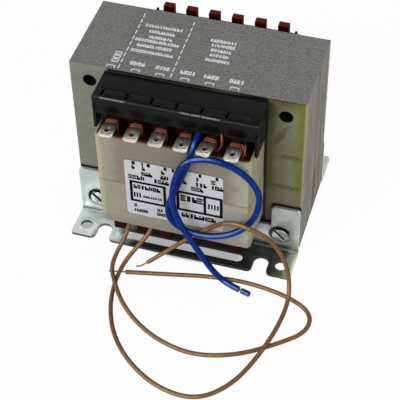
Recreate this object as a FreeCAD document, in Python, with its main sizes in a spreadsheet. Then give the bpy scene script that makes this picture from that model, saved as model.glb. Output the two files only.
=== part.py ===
"""Laminated chassis transformer.

Millimetres, +Z up. The origin lies on the mounting plane, under the feet, midway between the
four foot holes. X runs along the core's long side and the terminal side faces -Y.
"""
import FreeCAD, Part
import math
import os

import Sketcher
from FreeCAD import Placement, Rotation, Vector

DOCUMENT = FreeCAD.newDocument("LaminatedChassisTransformer")
SHEET = DOCUMENT.addObject("Spreadsheet::Sheet", "Sizes")

X_AXIS = Vector(1, 0, 0)
Y_AXIS = Vector(0, 1, 0)
Z_AXIS = Vector(0, 0, 1)

PACKET_COUNT = 8
TERMINAL_COUNT = 6
BENT_TAB_INDEX = 4
ARC_SHARE = 0.45
TOUCH = 1e-3
# Where the former's thin end pins stand along X.
END_PIN_SIDES = ["-flange_x", "flange_x - end_pin_width"]

# Driving dimensions in millimetres, degrees where the name says angle.
SIZES = {
    # laminated core
    "outer_leg_width": 17.5,
    "centre_leg_width": 35.0,
    "window_width": 17.5,
    "window_height": 52.5,
    "yoke_height": 17.5,
    "packet_thickness": 5.5,
    "core_hole_diameter": 5.8,
    "core_lift": 2.0,
    # coil former
    "former_clearance": 0.3,
    "former_wall": 1.2,
    "flange_thickness": 1.5,
    "flange_overhang": 21.6,
    "winding_clearance": 0.1,
    "comb_margin": 3.85,
    "post_width": 5.0,
    "post_depth": 3.5,
    "post_height": 7.3,
    "post_setback": 1.6,
    "terminal_post_setback": 5.1,
    "end_pin_width": 1.2,
    "end_pin_height": 4.3,
    "end_pin_depth": 1.6,
    "end_pin_inset": 3.0,
    "comb_web_depth": 2.0,
    "post_seat": 0.5,
    "flange_corner_radius": 0.6,
    "tube_corner_radius": 1.0,
    # windings and the wrap round them
    "primary_share": 0.5,
    "primary_corner_radius": 3.0,
    "interlayer_thickness": 0.6,
    "wrap_thickness": 1.0,
    "label_width": 44.4,
    "label_height": 33.0,
    "label_thickness": 0.15,
    "label_corner_radius": 1.5,
    "label_centre_x": 0.6,
    "label_drop": 1.75,
    # terminal cover
    "cover_side_gap": 0.2,
    "cover_front_gap": 0.8,
    "cover_wall": 1.2,
    "cover_drop": 1.3,
    "cover_front_height": 8.9,
    "cover_cheek_height": 17.4,
    "cover_rib_width": 1.2,
    "cover_rib_gap": 2.4,
    "cover_panel_gap": 1.3,
    "cover_panel_depth": 5.3,
    "cover_panel_inset": 1.0,
    "cover_line_width": 0.5,
    "cover_line_depth": 0.3,
    "cover_slot_width": 0.9,
    "cover_slot_length": 4.2,
    "cover_gap": 0.3,
    # terminal tabs and the wires on them
    "blade_width": 6.3,
    "blade_length": 8.0,
    "blade_thickness": 0.8,
    "blade_hole_diameter": 1.7,
    "blade_hole_inset": 3.4,
    "blade_tip_chamfer": 0.9,
    "neck_width": 3.8,
    "neck_length": 3.8,
    "tail_length": 3.0,
    "tail_width": 3.0,
    "tab_drop": 2.4,
    "tail_clearance": 0.1,
    "shoulder_gap": 0.3,
    "bent_tab_angle": 7.0,
    "wire_diameter": 0.9,
    "wire_gap": 0.05,
    "turns_length": 2.4,
    # mounting brackets
    "sheet_thickness": 1.5,
    "foot_reach": 19.0,
    "bracket_standoff": 1.0,
    "bend_radius": 1.2,
    "ear_width": 13.0,
    "ear_height": 27.8,
    "wall_height": 15.8,
    "foot_hole_diameter": 5.6,
    "foot_hole_side_inset": 5.5,
    "foot_hole_edge_inset": 6.5,
    "notch_side_inset": 14.8,
    "notch_width": 6.8,
    "notch_length": 9.6,
    "slot_side_inset": 23.5,
    "slot_width": 5.4,
    "slot_edge_inset": 6.1,
    "foot_corner_radius": 1.2,
    "notch_corner_radius": 2.4,
    "ear_corner_radius": 1.8,
    "boss_diameter": 12.6,
    "dimple_clearance": 0.3,
    "dimple_depth": 1.0,
    # clamp screws
    "screw_diameter": 5.0,
    "screw_head_diameter": 7.6,
    "screw_head_height": 2.0,
    "screw_slot_width": 1.2,
    "screw_slot_depth": 1.2,
    "screw_slot_angle": 45.0,
    "screw_end_length": 2.0,
    "thread_clearance": 0.1,
    "washer_diameter": 10.0,
    "washer_thickness": 1.0,
    "nut_height": 4.0,
    "nut_across_flats": 8.0,
    # free leads
    "blue_lead_diameter": 2.8,
    "brown_lead_diameter": 2.0,
    "blue_strand_diameter": 1.0,
    "brown_strand_diameter": 0.8,
    "blue_bare_length": 1.2,
    "slug_length": 4.4,
    "brown_1_bare_length": 7.6,
    "brown_2_bare_length": 3.0,
}

# Sizes that follow from the driving ones.
DERIVED = {
    "core_width": "centre_leg_width + 2 * window_width + 2 * outer_leg_width",
    "core_height": "window_height + 2 * yoke_height",
    "core_depth": f"{PACKET_COUNT} * packet_thickness",
    "core_face": "core_depth / 2",
    "core_middle_z": "core_lift + core_height / 2",
    "core_top_z": "core_lift + core_height",
    "window_inner_x": "centre_leg_width / 2",
    "window_outer_x": "window_inner_x + window_width",
    "window_bottom_z": "core_lift + yoke_height",
    "window_top_z": "window_bottom_z + window_height",
    "core_hole_x": "core_width / 2 - outer_leg_width / 2",
    "core_hole_z": "core_height / 2 - yoke_height / 2",
    "screw_z": "core_middle_z - core_hole_z",
    "former_inner_x": "window_inner_x + former_clearance",
    "former_inner_y": "core_face + former_clearance",
    "former_outer_x": "former_inner_x + former_wall",
    "former_outer_y": "former_inner_y + former_wall",
    "coil_outer_x": "window_outer_x - former_clearance",
    "flange_x": "coil_outer_x - wrap_thickness - winding_clearance",
    "flange_y": "core_face + flange_overhang",
    "coil_outer_y": "flange_y + winding_clearance + wrap_thickness",
    "former_bottom_z": "window_bottom_z + former_clearance",
    "former_top_z": "window_top_z - former_clearance",
    "label_centre_z": "core_middle_z - label_drop",
    "winding_bottom_z": "former_bottom_z + flange_thickness + winding_clearance",
    "winding_top_z": "former_top_z - flange_thickness - winding_clearance",
    "winding_inner_x": "former_outer_x + winding_clearance",
    "winding_inner_y": "former_outer_y + winding_clearance",
    "winding_build_x": "flange_x - winding_inner_x",
    "winding_build_y": "flange_y - winding_inner_y",
    "primary_outer_x": "winding_inner_x + (winding_build_x - interlayer_thickness) * primary_share",
    "primary_outer_y": "winding_inner_y + (winding_build_y - interlayer_thickness) * primary_share",
    "interlayer_inner_x": "primary_outer_x + winding_clearance",
    "interlayer_inner_y": "primary_outer_y + winding_clearance",
    "interlayer_outer_x": "interlayer_inner_x + interlayer_thickness",
    "interlayer_outer_y": "interlayer_inner_y + interlayer_thickness",
    "post_top_z": "former_top_z + post_height",
    "post_pitch": f"(2 * flange_x - 2 * comb_margin - post_width) / {TERMINAL_COUNT - 1}",
    "post_front_y": "flange_y - post_setback",
    "terminal_post_y": "flange_y - terminal_post_setback",
    "comb_face_y": "terminal_post_y - post_depth",
    "tab_bottom_z": "post_top_z - tab_drop",
    "cover_top_z": "core_top_z - cover_drop",
    "cover_back_y": "core_face + cover_gap",
    "cover_front_y": "terminal_post_y + cover_front_gap",
    "cover_depth": "cover_front_y - cover_back_y",
    "cover_width": "2 * (coil_outer_x + cover_side_gap + cover_wall)",
    "cover_panel_width": "post_pitch - cover_panel_gap",
    "bracket_face": "core_face + bracket_standoff + sheet_thickness",
    "foot_edge_y": "core_face + foot_reach",
    "ear_inner_x": "core_width / 2 - ear_width",
    "foot_hole_spacing_x": "core_width - 2 * foot_hole_side_inset",
    "foot_hole_spacing_y": "2 * (foot_edge_y - foot_hole_edge_inset)",
    "notch_centre_x": "core_width / 2 - notch_side_inset",
    "slot_length": "core_width - 2 * slot_side_inset",
    "slot_centre_y": "foot_edge_y - slot_edge_inset",
    "dimple_diameter": "washer_diameter + 2 * dimple_clearance",
    "seat_face": "bracket_face - dimple_depth",
    "nut_face": "seat_face + washer_thickness",
    "screw_end_y": "nut_face + nut_height + screw_end_length",
}

for row, (alias, value) in enumerate(SIZES.items(), start=1):
    SHEET.set(f"A{row}", alias)
    SHEET.set(f"B{row}", str(value))
    SHEET.setAlias(f"B{row}", alias)
for row, (alias, formula) in enumerate(DERIVED.items(), start=1):
    SHEET.set(f"D{row}", alias)
    SHEET.set(f"E{row}", f"={formula}")
    SHEET.setAlias(f"E{row}", alias)
DOCUMENT.recompute()


def bind(thing, properties):
    """Tie properties of an object to formulas in the sheet's names."""
    for name, formula in properties.items():
        thing.setExpression(name, with_sheet(formula))


def with_sheet(formula):
    """Put the sheet's name in front of every size that a formula mentions."""
    words = []
    word = ""
    for letter in str(formula) + " ":
        if letter.isalnum() or letter == "_":
            word += letter
            continue
        words.append(f"<<Sizes>>.{word}" if word in SIZES or word in DERIVED else word)
        words.append(letter)
        word = ""
    return "".join(words).strip()


def size(alias):
    """The present value of a size in the sheet."""
    return float(getattr(SHEET, alias))


def plain(name, type_name="Part::Box"):
    """Add an object that only helps to build a sub-part."""
    return DOCUMENT.addObject(type_name, name)


def box(name, low, extent):
    """Add a box from formulas for its low corner and its extent."""
    solid = plain(name)
    bind(solid, dict(zip(("Length", "Width", "Height"), extent)))
    bind(solid, {f"Placement.Base.{axis}": formula for axis, formula in zip("xyz", low)})
    return solid


def centred_box(name, half_x, half_y, bottom, top):
    """Add a box that is centred on the Z axis."""
    low = (f"-({half_x})", f"-({half_y})", bottom)
    return box(name, low, (f"2 * ({half_x})", f"2 * ({half_y})", f"({top}) - ({bottom})"))


def cylinder_along_y(name, diameter, centre_x, centre_z, front, back):
    """Add a cylinder that runs along Y, from formulas for where its ends lie."""
    solid = plain(name, "Part::Cylinder")
    solid.Placement = Placement(Vector(), Rotation(X_AXIS, -90))
    bind(solid, {"Radius": f"({diameter}) / 2", "Height": f"({back}) - ({front})"})
    bind(solid, {"Placement.Base.x": centre_x, "Placement.Base.y": front, "Placement.Base.z": centre_z})
    return solid


def fuse(name, shapes):
    """Join solids into one."""
    joined = plain(name, "Part::MultiFuse")
    joined.Shapes = shapes
    joined.Refine = True
    return joined


def cut(name, base, tools):
    """Take one or more solids away from another."""
    tool = tools[0] if len(tools) == 1 else fuse(f"{name}Tools", tools)
    result = plain(name, "Part::Cut")
    result.Base = base
    result.Tool = tool
    result.Refine = True
    return result


def runs_along(edge, axis):
    """Say whether an edge is straight and lies along an axis."""
    ends = edge.Vertexes
    if len(ends) != 2 or not isinstance(edge.Curve, Part.Line):
        return False
    direction = ends[1].Point.sub(ends[0].Point).normalize()
    return abs(direction.dot(axis)) > 0.999


SUB_PARTS = []


def sub_part(thing, label):
    """Give an object its name and list it for writing."""
    thing.Label = label
    SUB_PARTS.append(thing)
    return thing


class BodySketch:
    """A sketch on one of a body's own origin planes, drawn from formulas."""

    def __init__(self, body, name, role, offset=None):
        plane = next(item for item in body.Origin.OriginFeatures if item.Role == role)
        self.sketch = body.newObject("Sketcher::SketchObject", name)
        self.sketch.AttachmentSupport = [(plane, "")]
        self.sketch.MapMode = "FlatFace"
        if offset is not None:
            bind(self.sketch, {"AttachmentOffset.Base.z": offset})

    def _place(self, geometry, point, name, formulas):
        """Hold a point of the sketch at a place given by two formulas."""
        for direction, formula in zip("XY", formulas):
            limit = Sketcher.Constraint(f"Distance{direction}", -1, 1, geometry, point, 1.0)
            self.sketch.renameConstraint(self.sketch.addConstraint(limit), f"{name}{direction}")
            self.sketch.setExpression(f"Constraints.{name}{direction}", with_sheet(formula))

    def polygon(self, name, corners):
        """Draw a closed outline through corners given by pairs of formulas."""
        count = len(corners)
        first = self.sketch.GeometryCount
        places = [[self._value(formula) for formula in corner] for corner in corners]
        for index in range(count):
            start = Vector(*places[index], 0)
            end = Vector(*places[(index + 1) % count], 0)
            self.sketch.addGeometry(Part.LineSegment(start, end), False)
        for index in range(count):
            following = first + (index + 1) % count
            self.sketch.addConstraint(Sketcher.Constraint("Coincident", first + index, 2, following, 1))
        for index, corner in enumerate(corners):
            self._place(first + index, 1, f"{name}{index}", corner)

    def rectangle(self, name, left, bottom, right, top):
        """Draw a rectangle from formulas for its four sides."""
        self.polygon(name, [(left, bottom), (right, bottom), (right, top), (left, top)])

    def circle(self, name, centre, diameter):
        """Draw a circle from formulas for its centre and diameter."""
        place = Vector(*[self._value(formula) for formula in centre], 0)
        shape = Part.Circle(place, Z_AXIS, self._value(diameter) / 2)
        index = self.sketch.addGeometry(shape, False)
        self._place(index, 3, name, centre)
        limit = self.sketch.addConstraint(Sketcher.Constraint("Diameter", index, 1.0))
        self.sketch.renameConstraint(limit, f"{name}D")
        self.sketch.setExpression(f"Constraints.{name}D", with_sheet(diameter))

    def _value(self, formula):
        """Work a formula out, as a first place for the geometry."""
        return float(self.sketch.evalExpression(with_sheet(formula)))


def new_body(name):
    """Add an empty body."""
    return DOCUMENT.addObject("PartDesign::Body", name)


def pad(body, name, drawing, length, symmetric=True):
    """Raise a sketch into a solid."""
    feature = body.newObject("PartDesign::Pad", name)
    feature.Profile = drawing.sketch
    feature.SideType = "Symmetric" if symmetric else "One side"
    bind(feature, {"Length": length})
    drawing.sketch.Visibility = False
    return feature


def pocket(body, name, drawing, length="4 * core_width"):
    """Cut a sketch through the body on both sides of its plane."""
    DOCUMENT.recompute()
    before = body.Shape.Volume
    feature = body.newObject("PartDesign::Pocket", name)
    feature.Profile = drawing.sketch
    feature.SideType = "Symmetric"
    bind(feature, {"Length": length})
    DOCUMENT.recompute()
    if body.Shape.Volume >= before:
        raise RuntimeError(f"{body.Name}: {name} cuts nothing")
    return feature


def round_body(body, name, radius, chosen):
    """Round the edges of a body's last feature that the test picks."""
    DOCUMENT.recompute()
    tip = body.Tip
    names = [f"Edge{n}" for n, edge in enumerate(tip.Shape.Edges, start=1) if chosen(edge)]
    feature = body.newObject("PartDesign::Fillet", name)
    feature.Base = (tip, names)
    bind(feature, {"Radius": radius})
    return feature


def add_lamination_packets():
    """Stack E and I packets, with the joint at the bottom and at the top in turn."""
    outer = "core_width / 2"
    inner = "window_inner_x"
    window = "window_outer_x"
    half = "window_height / 2"
    edge = "core_height / 2"
    e_outline = [
        (f"-{outer}", f"-{half}"), (f"-{window}", f"-{half}"), (f"-{window}", half),
        (f"-{inner}", half), (f"-{inner}", f"-{half}"), (inner, f"-{half}"), (inner, half),
        (window, half), (window, f"-{half}"), (outer, f"-{half}"), (outer, edge), (f"-{outer}", edge),
    ]
    for index in range(PACKET_COUNT):
        step = index - (PACKET_COUNT - 1) / 2
        for letter, hole_side in (("e", ""), ("i", "-")):
            body = new_body(f"{letter.upper()}Packet{index + 1}")
            drawing = BodySketch(body, f"{body.Name}Outline", "XZ_Plane")
            if letter == "e":
                drawing.polygon("corner", e_outline)
            else:
                drawing.rectangle("corner", f"-{outer}", f"-{edge}", outer, f"-{half}")
            for side, sign in (("left", "-"), ("right", "")):
                centre = (f"{sign}core_hole_x", f"{hole_side}core_hole_z")
                drawing.circle(f"{side}Hole", centre, "core_hole_diameter")
            pad(body, f"{body.Name}Pad", drawing, "packet_thickness")
            body.Placement = Placement(Vector(), Rotation(Y_AXIS, 180.0 * (index % 2)))
            bind(body, {"Placement.Base.y": f"{step} * packet_thickness", "Placement.Base.z": "core_middle_z"})
            sub_part(body, f"{letter}_lamination_packet_{index + 1}")


def terminal_x(index):
    """The formula for where a terminal or post stands along X."""
    return f"({index - (TERMINAL_COUNT - 1) / 2} * post_pitch)"


def terminal_angle(index):
    """How far a tab is bent aside: only the fifth one is."""
    return "0 - bent_tab_angle" if index == BENT_TAB_INDEX else "0"


def place_at_terminal(thing, index, height):
    """Set an object that is drawn round a tab's root at that tab."""
    thing.Placement = Placement(Vector(), Rotation(Z_AXIS, 1.0))
    bind(thing, {
        "Placement.Base.x": terminal_x(index),
        "Placement.Base.y": "-terminal_post_y",
        "Placement.Base.z": height,
        "Placement.Rotation.Angle": terminal_angle(index),
    })
    return thing


def rounded_box(name, half_x, half_y, bottom, top, radius):
    """Add a centred box whose upright edges are rounded."""
    body = new_body(name)
    outline = BodySketch(body, f"{name}Outline", "XY_Plane", bottom)
    outline.rectangle("side", f"-({half_x})", f"-({half_y})", half_x, half_y)
    pad(body, f"{name}Pad", outline, f"({top}) - ({bottom})", symmetric=False)
    round_body(body, f"{name}Corners", radius, lambda edge: runs_along(edge, Z_AXIS))
    return body


def add_coil_former():
    """The moulded former: a tube between two flanges, with posts along its front and rear edges."""
    low = "former_bottom_z"
    high = "former_top_z"
    seat = f"{high} - post_seat"
    corner = "flange_corner_radius"
    solids = [
        rounded_box("FormerTube", "former_outer_x", "former_outer_y", low, high, "tube_corner_radius"),
        rounded_box("BottomFlange", "flange_x", "flange_y", low, f"{low} + flange_thickness", corner),
        rounded_box("TopFlange", "flange_x", "flange_y", f"{high} - flange_thickness", high, corner),
        box("CombWeb",
            (f"{terminal_x(0)} - post_width / 2", "-comb_face_y", seat),
            (f"{TERMINAL_COUNT - 1} * post_pitch + post_width", "comb_web_depth", "post_height + post_seat")),
    ]
    grooves = []
    extent = ("post_width", "post_depth", "post_height + post_seat")
    for index in range(TERMINAL_COUNT):
        number = index + 1
        left = f"{terminal_x(index)} - post_width / 2"
        rear = "post_front_y - post_depth"
        solids.append(box(f"FrontLowerPost{number}", (left, "-post_front_y", f"{low} - post_height"), extent))
        solids.append(box(f"RearLowerPost{number}", (left, rear, f"{low} - post_height"), extent))
        solids.append(box(f"RearUpperPost{number}", (left, rear, seat), extent))
        solids.append(box(f"TerminalPost{number}", (left, "-terminal_post_y", seat), extent))
        groove = new_body(f"TailGroove{number}")
        outline = BodySketch(groove, f"TailGroove{number}Outline", "XY_Plane")
        side = "tail_width / 2 + tail_clearance"
        outline.rectangle("side", f"-({side})", "-post_seat", side, "tail_length + tail_clearance")
        pad(groove, f"TailGroove{number}Pad", outline, "post_height", symmetric=False)
        grooves.append(place_at_terminal(groove, index, "tab_bottom_z"))
    pin = ("end_pin_width", "end_pin_depth", "end_pin_height + post_seat")
    pin_y = "flange_y - end_pin_inset"
    for number, near_x in enumerate(END_PIN_SIDES, start=1):
        solids.append(box(f"FrontEndPin{number}", (near_x, f"-({pin_y})", f"{low} - end_pin_height"), pin))
        solids.append(box(f"RearEndPin{number}", (near_x, f"{pin_y} - end_pin_depth", seat), pin))
    bore = centred_box("FormerBore", "former_inner_x", "former_inner_y", f"{low} - post_seat",
                       f"{high} + post_seat")
    sub_part(cut("CoilFormer", fuse("FormerSolid", solids), [bore] + grooves), "coil_former")


def add_layer(label, outer, inner, ends, radii):
    """Add a layer of the coil: a rectangular ring round the Z axis with rounded corners."""
    name = "".join(word.capitalize() for word in label.split("_"))
    past_ends = (f"{ends[0]} - post_seat", f"{ends[1]} + post_seat")
    block = rounded_box(f"{name}Outside", *outer, *ends, radii[0])
    opening = rounded_box(f"{name}Inside", *inner, *past_ends, radii[1])
    return sub_part(cut(name, block, [opening]), label)


def add_windings():
    """The two windings, the insulation between them and the wrap that closes the coil."""
    ends = ("winding_bottom_z", "winding_top_z")
    gap = "winding_clearance"
    insulation = f"primary_corner_radius + {gap} + interlayer_thickness"
    flange = "flange_corner_radius"
    add_layer("primary_winding", ("primary_outer_x", "primary_outer_y"),
              ("winding_inner_x", "winding_inner_y"), ends,
              ("primary_corner_radius", f"tube_corner_radius + {gap}"))
    add_layer("winding_insulation", ("interlayer_outer_x", "interlayer_outer_y"),
              ("interlayer_inner_x", "interlayer_inner_y"), ends,
              (insulation, f"primary_corner_radius + {gap}"))
    add_layer("secondary_winding", ("flange_x", "flange_y"),
              (f"interlayer_outer_x + {gap}", f"interlayer_outer_y + {gap}"), ends,
              (flange, f"{insulation} + {gap}"))
    add_layer("outer_wrap", ("coil_outer_x", "coil_outer_y"), (f"flange_x + {gap}", f"flange_y + {gap}"),
              ("former_bottom_z", "former_top_z"),
              (f"{flange} + {gap} + wrap_thickness", f"{flange} + {gap}"))


def add_label():
    """The thin plate of paper on the front of the wrap."""
    body = new_body("Label")
    outline = BodySketch(body, "LabelOutline", "XZ_Plane", "coil_outer_y")
    outline.rectangle("side", "label_centre_x - label_width / 2", "label_centre_z - label_height / 2",
                      "label_centre_x + label_width / 2", "label_centre_z + label_height / 2")
    pad(body, "LabelPad", outline, "label_thickness", symmetric=False)
    round_body(body, "LabelCorners", "label_corner_radius", lambda edge: runs_along(edge, Y_AXIS))
    sub_part(body, "rating_label")


def add_terminal_cover():
    """The cover over the tab roots: a top, a front and two cheeks, with two ribs on the flange."""
    half = "cover_width / 2"
    top = "cover_top_z"
    plates = [
        box("CoverTop", (f"-{half}", "-cover_front_y", f"{top} - cover_wall"),
            ("cover_width", "cover_depth", "cover_wall")),
        box("CoverFront", (f"-{half}", "-cover_front_y", f"{top} - cover_front_height"),
            ("cover_width", "cover_wall", "cover_front_height")),
    ]
    rib = "flange_x - cover_rib_gap"
    rib_height = f"{top} - former_top_z"
    for side, sign in (("Left", "-"), ("Right", "")):
        cheek = f"-{half}" if sign else f"{half} - cover_wall"
        near = f"-({rib}) " if sign else f"{rib} - cover_rib_width"
        plates.append(box(f"Cover{side}Cheek", (cheek, "-cover_front_y", f"{top} - cover_cheek_height"),
                          ("cover_wall", "cover_depth", "cover_cheek_height")))
        plates.append(box(f"Cover{side}Rib", (near, "-cover_front_y", "former_top_z"),
                          ("cover_rib_width", "cover_depth / 2", rib_height)))
    marks = []
    for index in range(TERMINAL_COUNT):
        left = f"{terminal_x(index)} - cover_panel_width / 2"
        front = "cover_panel_inset - cover_front_y"
        floor = f"{top} - cover_line_depth"
        panel = box(f"CoverPanel{index + 1}", (left, front, floor),
                    ("cover_panel_width", "cover_panel_depth", "2 * cover_line_depth"))
        field = box(f"CoverField{index + 1}",
                    (f"{left} + cover_line_width", f"{front} + cover_line_width", f"{floor} - cover_line_depth"),
                    ("cover_panel_width - 2 * cover_line_width", "cover_panel_depth - 2 * cover_line_width",
                     "4 * cover_line_depth"))
        marks.append(cut(f"CoverOutline{index + 1}", panel, [field]))
        marks.append(box(f"CoverSlot{index + 1}", (f"{left} - cover_slot_width", f"{front} + cover_line_width",
                                                    f"{top} - 2 * cover_wall"),
                         ("cover_slot_width", "cover_slot_length", "3 * cover_wall")))
    sub_part(cut("TerminalCover", fuse("CoverPlates", plates), marks), "terminal_cover")


def add_terminal_tabs():
    """Flat push-on blades with a hole, each on a narrower neck and a tail in its post's groove."""
    for index in range(TERMINAL_COUNT):
        number = index + 1
        body = new_body(f"TerminalTab{number}")
        drawing = BodySketch(body, f"Tab{number}Outline", "XY_Plane")
        tip = "-(neck_length + blade_length)"
        left = [
            ("-tail_width / 2", "tail_length"), ("-tail_width / 2", "-shoulder_gap"),
            ("-neck_width / 2", "-shoulder_gap"),
            ("-neck_width / 2", "-neck_length"), ("-blade_width / 2", "-neck_length"),
            ("-blade_width / 2", f"{tip} + blade_tip_chamfer"), ("-blade_width / 2 + blade_tip_chamfer", tip),
        ]
        right = [(f"-({x})", y) for x, y in reversed(left)]
        drawing.polygon("corner", left + right)
        drawing.circle("hole", ("0", f"{tip} + blade_hole_inset"), "blade_hole_diameter")
        pad(body, f"Tab{number}Pad", drawing, "blade_thickness", symmetric=False)
        sub_part(place_at_terminal(body, index, "tab_bottom_z"), f"terminal_tab_{number}")


def add_lead_out_wires():
    """The wire from the coil to each tab: a riser from the flange and the turns round the neck."""
    for index in range(TERMINAL_COUNT):
        number = index + 1
        half = "(neck_width / 2 + wire_gap)"
        front = "(wire_gap - neck_length)"
        turns = box(f"Turns{number}Block", (f"-{half} - wire_diameter", front, "-wire_gap - wire_diameter"),
                    (f"2 * ({half} + wire_diameter)", "turns_length",
                     "blade_thickness + 2 * (wire_gap + wire_diameter)"))
        eye = box(f"Turns{number}Eye", (f"-{half}", "-neck_length", "-wire_gap"),
                  (f"2 * {half}", "neck_length", "blade_thickness + 2 * wire_gap"))
        riser = plain(f"Riser{number}", "Part::Cylinder")
        bind(riser, {"Radius": "wire_diameter / 2", "Height": "tab_bottom_z - former_top_z",
                     "Placement.Base.x": f"{half} + wire_diameter / 2",
                     "Placement.Base.y": f"{front} + turns_length / 2",
                     "Placement.Base.z": "former_top_z - tab_bottom_z"})
        wire = fuse(f"LeadOutWire{number}", [cut(f"Turns{number}", turns, [eye]), riser])
        sub_part(place_at_terminal(wire, index, "tab_bottom_z"), f"lead_out_wire_{number}")


def add_bracket(label, turn):
    """A bent sheet bracket: a foot with holes, notches and a slot, a low wall and two tall ears."""
    name = "".join(word.capitalize() for word in label.split("_"))
    body = new_body(name)
    profile = BodySketch(body, f"{name}Profile", "YZ_Plane")
    inner = "-(core_face + bracket_standoff)"
    profile.polygon("corner", [
        ("-foot_edge_y", "0"), (inner, "0"), (inner, "ear_height"), ("-bracket_face", "ear_height"),
        ("-bracket_face", "sheet_thickness"), ("-foot_edge_y", "sheet_thickness"),
    ])
    pad(body, f"{name}Sheet", profile, "core_width")
    DOCUMENT.recompute()
    bend_y = -size("bracket_face")
    round_body(body, f"{name}InnerBend", "bend_radius",
               lambda edge: runs_along(edge, X_AXIS) and is_at(edge, y=bend_y, z=size("sheet_thickness")))
    round_body(body, f"{name}OuterBend", "bend_radius + sheet_thickness",
               lambda edge: runs_along(edge, X_AXIS) and is_at(edge, y=bend_y + size("sheet_thickness"), z=0))
    gap = BodySketch(body, f"{name}Gap", "XZ_Plane")
    gap.rectangle("gap", "-ear_inner_x", "wall_height", "ear_inner_x", "2 * ear_height")
    pocket(body, f"{name}BetweenEars", gap)
    openings = BodySketch(body, f"{name}Openings", "XY_Plane")
    notch_end = "-foot_edge_y + notch_length - notch_width / 2"
    half_slot = "(slot_length - slot_width) / 2"
    for side, sign in (("left", "-"), ("right", "")):
        middle = f"{sign}notch_centre_x"
        openings.rectangle(f"{side}Notch", f"{middle} - notch_width / 2", "-foot_edge_y - notch_length",
                           f"{middle} + notch_width / 2", notch_end)
    openings.rectangle("slot", f"-({half_slot})", "-slot_centre_y - slot_width / 2",
                       half_slot, "-slot_centre_y + slot_width / 2")
    pocket(body, f"{name}Slots", openings)
    holes = BodySketch(body, f"{name}Holes", "XY_Plane")
    for side, sign in (("left", "-"), ("right", "")):
        place = (f"{sign}foot_hole_spacing_x / 2", "-foot_hole_spacing_y / 2")
        holes.circle(f"{side}Foot", place, "foot_hole_diameter")
        holes.circle(f"{side}Notch", (f"{sign}notch_centre_x", notch_end), "notch_width")
        holes.circle(f"{side}Slot", (f"{sign}({half_slot})", "-slot_centre_y"), "slot_width")
    pocket(body, f"{name}RoundEnds", holes)
    boss = BodySketch(body, f"{name}Boss", "XZ_Plane", "core_face")
    for side, sign in (("left", "-"), ("right", "")):
        boss.circle(side, (f"{sign}core_hole_x", "screw_z"), "boss_diameter")
    pad(body, f"{name}Bosses", boss, "bracket_standoff", symmetric=False)
    dimples = BodySketch(body, f"{name}Dimple", "XZ_Plane", "bracket_face")
    for side, sign in (("left", "-"), ("right", "")):
        dimples.circle(side, (f"{sign}core_hole_x", "screw_z"), "dimple_diameter")
    pocket(body, f"{name}Dimples", dimples, "2 * dimple_depth")
    bolts = BodySketch(body, f"{name}Bolts", "XZ_Plane")
    for side, sign in (("left", "-"), ("right", "")):
        bolts.circle(side, (f"{sign}core_hole_x", "screw_z"), "core_hole_diameter")
    pocket(body, f"{name}BoltHoles", bolts)
    half_width = size("core_width") / 2
    round_body(body, f"{name}FootCorners", "foot_corner_radius",
               lambda edge: runs_along(edge, Z_AXIS) and is_at(edge, y=-size("foot_edge_y"))
               and abs(abs(edge.BoundBox.Center.x) - half_width) < TOUCH)
    notch_x, notch_reach = size("notch_centre_x"), size("notch_width") / 2 + TOUCH
    round_body(body, f"{name}NotchCorners", "notch_corner_radius",
               lambda edge: runs_along(edge, Z_AXIS) and is_at(edge, y=-size("foot_edge_y"))
               and abs(abs(edge.BoundBox.Center.x) - notch_x) < notch_reach)
    round_body(body, f"{name}EarCorners", "ear_corner_radius",
               lambda edge: runs_along(edge, Y_AXIS) and is_at(edge, z=size("ear_height")))
    body.Placement = Placement(Vector(), Rotation(Z_AXIS, turn))
    sub_part(body, label)


def is_at(edge, **place):
    """Say whether an edge's middle has the given coordinates."""
    middle = edge.BoundBox.Center
    return all(abs(getattr(middle, axis) - value) < TOUCH for axis, value in place.items())


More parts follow.
